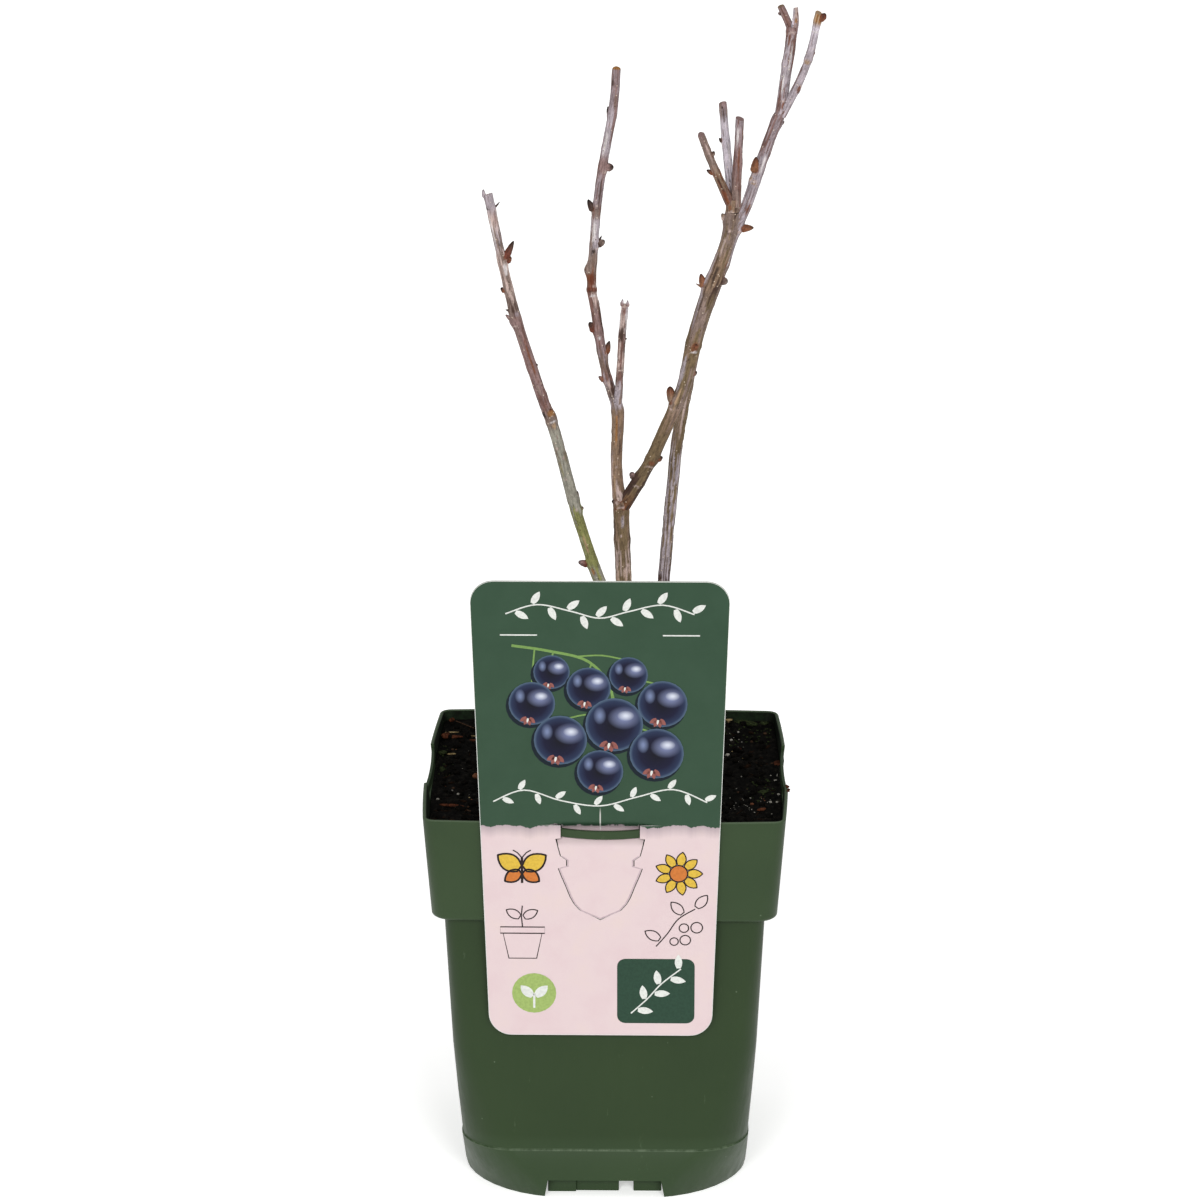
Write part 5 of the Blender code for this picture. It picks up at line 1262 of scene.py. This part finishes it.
# Twig masses: a stem that goes on from a limb's tip and the twigs that leave it. A twig has
# its foot, its tip from the stem's end, and its heights as shares of its rise.
masses = {
    "prunedHeadTwigs": {
        "node": "pruned_head_twigs", "seed": 11, "end": ("joined", "taupe"),
        "course": [(44.6, -11.0, 361.5, 2.35), (44.8, -11.0, 366.0, 2.3)],
        "coat": [(361, "taupe", "hazel", 0.5), (366, "taupe", "hazel", 0.5)],
        "patches": [(363.2, -60, 4, 0.8, "umber"), (363.4, -115, 2.2, 1.5, "amber")],
        "arcs": [(361.8, -100, 2.6, "cream")], "buds": [],
        "twigs": [
            {"foot": (44.0, -11.0, 364.2), "tip": (-11.65, -10.0, 25.3), "radii": (1.7, 1.2), "bow": -0.3,
             "end": ("flat", "rose"),
             "coat": [(0.0, "russet", "mauve", 0.6), (0.4, "rust", "hazel", 0.6),
                      (0.6, "taupe", "stone", 0.5), (1.0, "stone", "rose", 0.4)],
             "patches": [(0.3, -90, 6, 0.7, "umber"), (0.75, -70, 7, 0.7, "cream")], "arcs": [],
             "buds": [(0.46, 180, 3.0, 1.8, 37, "scales", "russet", "umber"),
                      (0.69, 0, 1.8, 1.6, 37, "scales", "taupe", "umber")]},
            {"foot": (44.8, -10.6, 363.8), "tip": (-3.8, 13.0, 32.5), "radii": (1.6, 1.32), "bow": -0.4,
             "end": ("flat", "tan"),
             "coat": [(0.0, "mauve", "silver", 0.5), (0.25, "lilac", "pearl", 0.8),
                      (0.8, "lilac", "pearl", 0.85), (0.88, "khaki", "lilac", 0.6),
                      (1.0, "khaki", "rose", 0.6)],
             "patches": [(0.86, -90, 6, 0.7, "umber"), (0.5, -60, 8, 0.7, "white")], "arcs": [],
             "buds": [(0.62, 180, 2.0, 1.4, 37, "scales", "umber", "dark"),
                      (0.93, -100, 1.0, 0.7, 25, "flat", "umber", "umber")]},
            {"foot": (45.8, -11.2, 363.4), "tip": (2.2, -3.0, 29.9), "radii": (1.8, 1.45), "bow": -0.1,
             "end": ("flat", "rose"),
             "coat": [(0.0, "mauve", "stone", 0.6), (0.5, "mauve", "rose", 0.5),
                      (1.0, "mauve", "lilac", 0.6)],
             "patches": [(0.55, -80, 9, 0.8, "russet"), (0.8, -110, 7, 0.9, "white")], "arcs": [],
             "buds": [(0.5, 60, 2.4, 1.8, 37, "scales", "russet", "umber")]},
        ],
    },
    "tallTopTwigs": {
        "node": "tall_top_twigs", "seed": 23, "end": ("joined", "taupe"),
        "course": [(61.9, 36.8, 386.8, 1.7), (62.5, 37.0, 388.6, 2.0), (63.2, 37.4, 393.5, 1.95),
                   (64.2, 38.0, 401.8, 1.9), (65.6, 38.6, 411.0, 1.95), (66.5, 39.0, 419.4, 1.95)],
        "bumps": [(390.5, 0, 0.5, 1.8, 50), (392.5, -60, 0.3, 1.5, 50), (406.0, 180, 0.25, 1.5, 40),
                  (418.0, 180, 0.3, 1.6, 50)],
        "coat": [(388, "mauve", "silver", 0.6), (402, "mauve", "silver", 0.75), (412, "mauve", "silver", 0.5),
                 (420, "mauve", "rose", 0.5)],
        # the two long mauve strips down the limb's left and right sides are painted shade on its flanks
        "patches": [(404.0, -172, 28, 0.9, "mauve"), (405.0, -12, 26, 0.8, "mauve"),
                    (391.5, -125, 8, 1.8, "mauve"), (399.0, -110, 7, 0.8, "white"), (408.0, -70, 12, 0.7, "white"),
                    (415.0, -110, 5, 1.0, "russet"), (391.0, -80, 3, 1.6, "russet")],
        "arcs": [(393.0, -80, 3.0, "cream"), (417.6, -90, 3.0, "cream")],
        "buds": [],
        "twigs": [
            {"foot": (66.3, 39.0, 417.8), "tip": (-4.5, 1.0, 7.8), "radii": (1.35, 1.15), "bow": 0.0,
             "end": ("flat", "hazel"), "coat": [(0.0, "mauve", "rose", 0.5), (1.0, "mauve", "rose", 0.7)],
             "patches": [(0.75, 180, 2, 1.4, "umber")], "arcs": [],
             "buds": [(0.72, 180, 1.4, 1.3, 50, "knob", "umber", "rose")]},
            {"foot": (66.7, 39.0, 417.2), "tip": (1.1, -0.5, 7.4), "radii": (1.6, 0.8), "bow": 0.3,
             "end": ("flat", "cream"), "coat": [(0.0, "rose", "pearl", 0.5), (1.0, "cream", "pearl", 0.6)],
             "patches": [(0.5, -80, 2, 1.0, "ochre"), (0.75, -50, 1.4, 0.8, "mauve")], "arcs": [],
             "buds": []},
            {"foot": (62.9, 36.8, 387.4), "tip": (9.3, -9.0, 7.0), "radii": (1.5, 1.3), "bow": 2.2,
             "end": ("flat", "tan"),
             "coat": [(0.0, "mauve", "silver", 0.6), (0.15, "mauve", "silver", 0.8),
                      (0.55, "rose", "silver", 0.7), (0.85, "lilac", "pearl", 0.7),
                      (0.92, "ochre", "tan", 0.5), (1.0, "ochre", "tan", 0.5)],
             "patches": [(0.28, -60, 3.0, 1.4, "russet"), (0.53, -100, 1.6, 2.4, "tan")],
             "arcs": [(0.82, -80, 2.0, "white")],
             "bumps": [(0.26, -30, 0.3, 1.4, 60), (0.54, -90, 0.22, 0.9, 400),
                       (0.9, -90, 0.2, 2.0, 400)],
             "buds": [(0.6, 20, 1.2, 0.9, 37, "scales", "russet", "umber"),
                      (0.93, -20, 3.6, 2.6, 22, "knob", "russet", "chestnut")]},
        ],
    },
}
bark = {
    "ringStep": 0.55, "sides": 34, "fibre": 0.09, "peel": 0.16, "swell": 0.07, "swellReach": 1.8,
    "slant": 0.35,                 # how steeply a cut end slopes
    "twigSteps": 60, "twigBend": 0.15,
}
# nested shells of a bud as (roll, tall, wide), and how it narrows towards its tip
budStyles = {
    "scales": (((0.0, 1.0, 1.0), (0.9, 0.84, 0.95), (3.1, 0.7, 0.98), (5.0, 0.55, 1.02)), 0.6),
    "flat": (((0.0, 1.0, 1.0), (1.2, 0.7, 0.95)), 0.5),
    "knob": (((0.0, 1.0, 1.0), (2.2, 0.8, 0.95), (4.6, 0.62, 1.0)), 0.15),
    "club": (((0.0, 1.0, 0.85), (0.6, 0.93, 0.8), (2.6, 0.7, 0.62)), -0.5),
    "thorn": (((0.0, 1.0, 1.0),), 0.9),
}


# a smooth row of centres and radii, in millimetres, through a limb's places
def smoothCourse(course):
    places = [Vector(row[:3]) for row in course]
    radii = [row[3] for row in course]
    rings = []
    for i in range(len(places) - 1):
        before = places[i - 1] if i > 0 else 2 * places[0] - places[1]
        after = places[i + 2] if i + 2 < len(places) else 2 * places[-1] - places[-2]
        steps = max(1, round((places[i + 1] - places[i]).length / bark["ringStep"]))
        for step in range(steps):
            t = step / steps
            point = 0.5 * (2 * places[i] + (places[i + 1] - before) * t
                           + (2 * before - 5 * places[i] + 4 * places[i + 1] - after) * t ** 2
                           + (3 * places[i] - before - 3 * places[i + 1] + after) * t ** 3)
            rings.append((point, radii[i] + (radii[i + 1] - radii[i]) * t))
    rings.append((places[-1], radii[-1]))
    return rings


def ringAt(rings, height):
    for (low, lowRadius), (high, highRadius) in zip(rings, rings[1:]):
        if low.z <= height <= high.z:
            t = (height - low.z) / (high.z - low.z)
            return low.lerp(high, t), (high - low).normalized(), lowRadius + (highRadius - lowRadius) * t
    return rings[-1][0], (rings[-1][0] - rings[-2][0]).normalized(), rings[-1][1]


def toneColour(name):
    return Vector(hexColour(tones[name])[:3]) * woodDim


# under-bark, skin and share of skin at a height
def coatAt(rows, height):
    for low, high in zip(rows, rows[1:]):
        if height <= high[0]:
            t = eased(height, low[0], high[0])
            return (toneColour(low[1]).lerp(toneColour(high[1]), t),
                    toneColour(low[2]).lerp(toneColour(high[2]), t), low[3] + (high[3] - low[3]) * t)
    return toneColour(rows[-1][1]), toneColour(rows[-1][2]), rows[-1][3]


# marks that reach a ring: its own patches and scars, and those that go with each bud
def marksNear(look, height):
    marks = [(*patch, 0.0) for patch in look["patches"]]
    marks += [(z, side, 0.75, wide, tone, -0.3) for z, side, wide, tone in look["arcs"]]
    for z, side, length, width, lean, style, *_ in look["buds"]:
        if style not in ("scales", "club"):
            continue
        marks.append((z + 0.2, side, 2.2, width + 1.0, "russet", 0.0))
        marks.append((z - 1.5, side, 0.6, width + 0.6, "cream", 0.25))
    return [mark for mark in marks if abs(mark[0] - height) < mark[2] + 1.5]


# one limb with raised fibres and a papery skin that peels, and a cut or rounded end
def barkTube(bm, rings, look, seed, layers):
    coatLayer, skinLayer, runLayer = layers
    loops, values = [], []
    length = 0.0
    flat = look["end"][0] == "flat"
    domed = look["end"][0] == "dome"
    for i, (centre, radius) in enumerate(rings):
        ahead = rings[min(i + 1, len(rings) - 1)][0]
        behind = rings[max(i - 1, 0)][0]
        along = (ahead - behind).normalized()
        side = (Vector((1, 0, 0)) - along * along.x).normalized()
        other = along.cross(side)
        length += (centre - behind).length if i else 0.0
        under, over, share = coatAt(look["coat"], centre.z)
        marks = marksNear(look, centre.z)
        bumps = [bump for bump in look.get("bumps", []) if abs(bump[0] - centre.z) < bump[3] * 3]
        nearNode = max([math.exp(-((centre.z - bud[0]) / bark["swellReach"]) ** 2)
                        for bud in look["buds"] if bud[5] != "thorn"] or [0.0])
        cutShare = max(0.0, 1 - (len(rings) - 1 - i) / 6) if flat else 0.0
        ring = []
        for k in range(bark["sides"]):
            angle = 2 * math.pi * k / bark["sides"]
            across = side * math.cos(angle) + other * math.sin(angle)
            turn = Vector((math.cos(angle) * 1.5, math.sin(angle) * 1.5, seed))
            fibre = noise.fractal(turn * 2.4 + Vector((0, 0, length * 0.16)), 0.8, 2.2, 3)
            peel = noise.fractal(turn * look.get("stripes", 1.0) + Vector((0, 0, length * 0.06)), 0.7, 2.1, 4)
            mottle = noise.noise(turn * 1.3 + Vector((0, 0, length * 0.5 + 40)))
            skin = eased(peel + (share - 0.5) * 1.3, -0.07, 0.07)
            colour = under.lerp(over, skin) * (1 + 0.22 * mottle)
            # the peeling skin's edge is painted darker: painted shadow under the lifted skin
            edge = 1 - abs(2 * skin - 1)
            colour *= 1 - 0.35 * edge
            for z, toSide, tall, wide, tone, bend in marks:
                arc = (math.degrees(angle) - toSide + 180) % 360 - 180
                arc = math.radians(arc) * radius
                rise = (centre.z - z - bend * arc * arc) / (tall / 2)
                away = math.hypot(rise, arc / (wide / 2)) + 0.35 * noise.noise(turn * 3 + centre * 0.7)
                colour = colour.lerp(toneColour(tone), 0.88 * (1 - eased(away, 0.7, 1.2)))
            lift = bark["fibre"] * fibre + bark["peel"] * (skin - 0.5)
            for z, toSide, out, tall, wide in bumps:
                arc = ((math.degrees(angle) - toSide + 180) % 360 - 180) / wide
                lift += out * math.exp(-((centre.z - z) / tall) ** 2 - arc * arc)
            size = radius * (1 + bark["swell"] * nearNode) + lift
            drop = bark["slant"] * radius * (1 - math.cos(angle + seed)) * cutShare ** 2
            ring.append((centre + across * size - along * drop) * mm)
            values.append((colour, skin, (math.cos(angle) * radius, math.sin(angle) * radius, length)))
        loops.append(ring)
    if domed:
        for step in range(1, 5):
            turn = math.pi / 2 * step / 4.4
            loops.append([(rings[-1][0] + (Vector(place) / mm - rings[-1][0]) * math.cos(turn)
                           + along * rings[-1][1] * 0.8 * math.sin(turn)) * mm
                          for place in loops[len(rings) - 1]])
    rows = skinLoops(bm, loops, capStart=True, capEnd=False)
    endColour = toneColour(look["end"][1])
    for number, row in enumerate(rows):
        for k, vert in enumerate(row):
            colour, skin, run = values[min(number, len(rings) - 1) * bark["sides"] + k]
            if number >= len(rings):
                colour = endColour
            vert[coatLayer] = (*colour, 1.0)
            vert[skinLayer] = skin
            vert[runLayer] = run
    end = bm.faces.new(rows[-1])
    end.material_index = 2
    bmesh.ops.inset_individual(bm, faces=[end], thickness=rings[-1][1] * 0.16 * mm,
                               depth=-0.12 * mm if flat else 0.0)
    for vert in end.verts:
        vert[coatLayer] = (*endColour, 1.0)


# a bud on a limb: nested shells that lean away from it, dark towards the tip, with painted shade at each shell's tip
# and along the seams between shells
def addBud(bm, rings, bud, layers):
    height, side, length, width, lean, style, footTone, tipTone = bud
    centre, along, radius = ringAt(rings, height)
    angle, tilt = math.radians(side), math.radians(lean)
    out = Vector((math.cos(angle), math.sin(angle), 0.0))
    out = (out - along * out.dot(along)).normalized()
    aim = along * math.cos(tilt) + out * math.sin(tilt)
    turn = Vector((0, 0, 1)).rotation_difference(aim).to_matrix()
    shells, taper = budStyles[style]
    foot, tip = toneColour(footTone), toneColour(tipTone)
    for roll, tall, wide in shells:
        made = bmesh.ops.create_uvsphere(bm, u_segments=14, v_segments=11, radius=0.5)["verts"]
        for vert in made:
            share = vert.co.z + 0.5
            narrow = 1.0 - taper * max(0.0, share - 0.35)
            rough = 1 + 0.14 * noise.noise(vert.co * 5 + Vector((height, roll, side)))
            # each shell is painted lighter at its foot and darker to its tip and along its seams: partly the bud's
            # own darker tip, partly painted shade where the shells overlap
            seam = abs(math.sin(1.5 * math.atan2(vert.co.y, vert.co.x) + roll))
            vert[layers[0]] = (*(foot.lerp(tip, eased(share * tall, 0.25, 0.9))
                                 * (1.2 - 0.8 * eased(share, 0.65, 1.0))
                                 * (0.6 + 0.45 * eased(seam, 0.1, 0.6))), 1.0)
            vert[layers[2]] = (vert.co.x * width, vert.co.y * width, share * length)
            vert.co.x *= width * wide * narrow * rough
            vert.co.y *= width * wide * narrow * rough
            vert.co.z = (share * tall - 0.175) * length
            if roll:
                vert.co.x += 0.17 * width * math.cos(roll * 2.1) * share
                vert.co.y += 0.17 * width * math.sin(roll * 2.1) * share
            vert[layers[1]] = 0.5
        bmesh.ops.rotate(bm, cent=(0, 0, 0), matrix=turn, verts=made)
        bmesh.ops.translate(bm, vec=centre + out * (radius - 0.1), verts=made)
        bmesh.ops.scale(bm, vec=(mm, mm, mm), verts=made)
        for vert in made:
            for face in vert.link_faces:
                face.material_index = 1


# wood whose colours are dealt out by place: fibres run along it, with specks and fine cracks
def woodMaterial(name, contrast, roughness, specks, depth):
    material, tree, shader = newMaterial(name, Roughness=roughness)
    shader.inputs["Specular IOR Level"].default_value = 0.15
    coat = addNode(tree, "Attribute", attribute_name="coat").outputs["Color"]
    run = addNode(tree, "Attribute", attribute_name="run").outputs["Vector"]
    fine = addNode(tree, "Mapping", {"Vector": run, "Scale": (1.0, 1.0, 0.13)})
    streak = addNode(tree, "TexNoise", {"Vector": fine.outputs["Vector"], "Scale": 1.9, "Detail": 6.0,
                                        "Roughness": 0.68})
    shade = addNode(tree, "MapRange", {"Value": streak.outputs["Fac"], "From Min": 0.28, "From Max": 0.72,
                                       "To Min": 1 - contrast, "To Max": 1 + contrast})
    grain = addNode(tree, "TexNoise", {"Vector": run, "Scale": 1.6, "Detail": 5.0})
    patch = addNode(tree, "MapRange", {"Value": grain.outputs["Fac"], "From Min": 0.3, "From Max": 0.7,
                                       "To Min": 0.85, "To Max": 1.15})
    both = addNode(tree, "Math", {0: shade.outputs["Result"], 1: patch.outputs["Result"]},
                   operation="MULTIPLY")
    toned = addNode(tree, "VectorMath", {0: coat, "Scale": both.outputs[0]}, operation="SCALE")
    # cracks lie where the streaks cross one value
    crack = addNode(tree, "Math", {0: streak.outputs["Fac"], 1: 0.44}, operation="SUBTRACT")
    thin = addNode(tree, "Math", {0: crack.outputs[0]}, operation="ABSOLUTE")
    dark = addNode(tree, "MapRange", {"Value": thin.outputs[0], "From Min": 0.006, "From Max": 0.02,
                                      "To Min": 0.55, "To Max": 0.0})
    colour = addNode(tree, "Mix", {0: dark.outputs["Result"], 6: toned.outputs["Vector"],
                                   7: hexColour("33241D")}, data_type="RGBA").outputs[2]
    for shift, code, reach in ((0.0, "3A2620", 0.16), (7.3, "D8C7B2", 0.13)):
        moved = addNode(tree, "Mapping", {"Vector": run, "Location": (shift, shift, shift)})
        cells = addNode(tree, "TexVoronoi", {"Vector": moved.outputs["Vector"], "Scale": 0.5})
        spot = addNode(tree, "MapRange", {"Value": cells.outputs["Distance"], "From Min": reach * 0.6,
                                          "From Max": reach, "To Min": specks, "To Max": 0.0})
        colour = addNode(tree, "Mix", {0: spot.outputs["Result"], 6: colour, 7: hexColour(code)},
                         data_type="RGBA").outputs[2]
    tree.links.new(colour, shader.inputs["Base Color"])
    bump = addNode(tree, "Bump", {"Height": streak.outputs["Fac"], "Distance": depth * mm, "Strength": 0.9})
    tree.links.new(bump.outputs["Normal"], shader.inputs["Normal"])
    return material


def newLimbMesh():
    bm = bmesh.new()
    kinds = bm.verts.layers
    return bm, (kinds.float_color.new("coat"), kinds.float.new("skin"), kinds.float_vector.new("run"))


# a twig's course from its foot to its tip, bowed sideways and a little bent
def twigRings(twig, stemEnd, rng):
    foot = Vector(twig["foot"])
    rise = Vector(stemEnd) + Vector(twig["tip"]) - foot
    bend = bark["twigBend"]
    swing = Vector((rng.uniform(-bend, bend) + twig["bow"], rng.uniform(-bend, bend), 0.0))
    first, last = twig["radii"]
    return [(foot + rise * t + swing * math.sin(math.pi * t), first + (last - first) * t)
            for t in (step / bark["twigSteps"] for step in range(bark["twigSteps"] + 1))]


# a twig's look with its shares of the rise turned into heights
def twigLook(twig, rings):
    low, high = rings[0][0].z, rings[-1][0].z
    look = dict(twig)
    for kind in ("coat", "patches", "arcs", "bumps", "buds"):
        look[kind] = [(low + (high - low) * row[0], *row[1:]) for row in twig.get(kind, [])]
    return look


def makeLimbs():
    coats = [woodMaterial("Peeling currant bark", 0.36, 0.7, 0.7, 0.14),
             woodMaterial("Bud scales", 0.16, 0.5, 0.2, 0.05),
             woodMaterial("Cut wood", 0.1, 0.75, 0.0, 0.03)]
    for number, (name, limb) in enumerate({**limbs, **masses}.items()):
        bm, layers = newLimbMesh()
        rings = smoothCourse(limb["course"])
        barkTube(bm, rings, limb, number * 7.3, layers)
        for bud in limb["buds"]:
            addBud(bm, rings, bud, layers)
        rng = random.Random(limb.get("seed", 0))
        for place, twig in enumerate(limb.get("twigs", [])):
            rings = twigRings(twig, limb["course"][-1][:3], rng)
            look = twigLook(twig, rings)
            barkTube(bm, rings, look, 80 + place * 9.1, layers)
            for bud in look["buds"]:
                addBud(bm, rings, bud, layers)
        finishPiece(name, bm, coats, [limb["node"]], 50)
    print("limbs made")


placeCamera()
setStudio()
makePot()
makeCompost()
makeCard()
makeArtwork()
makeLimbs()
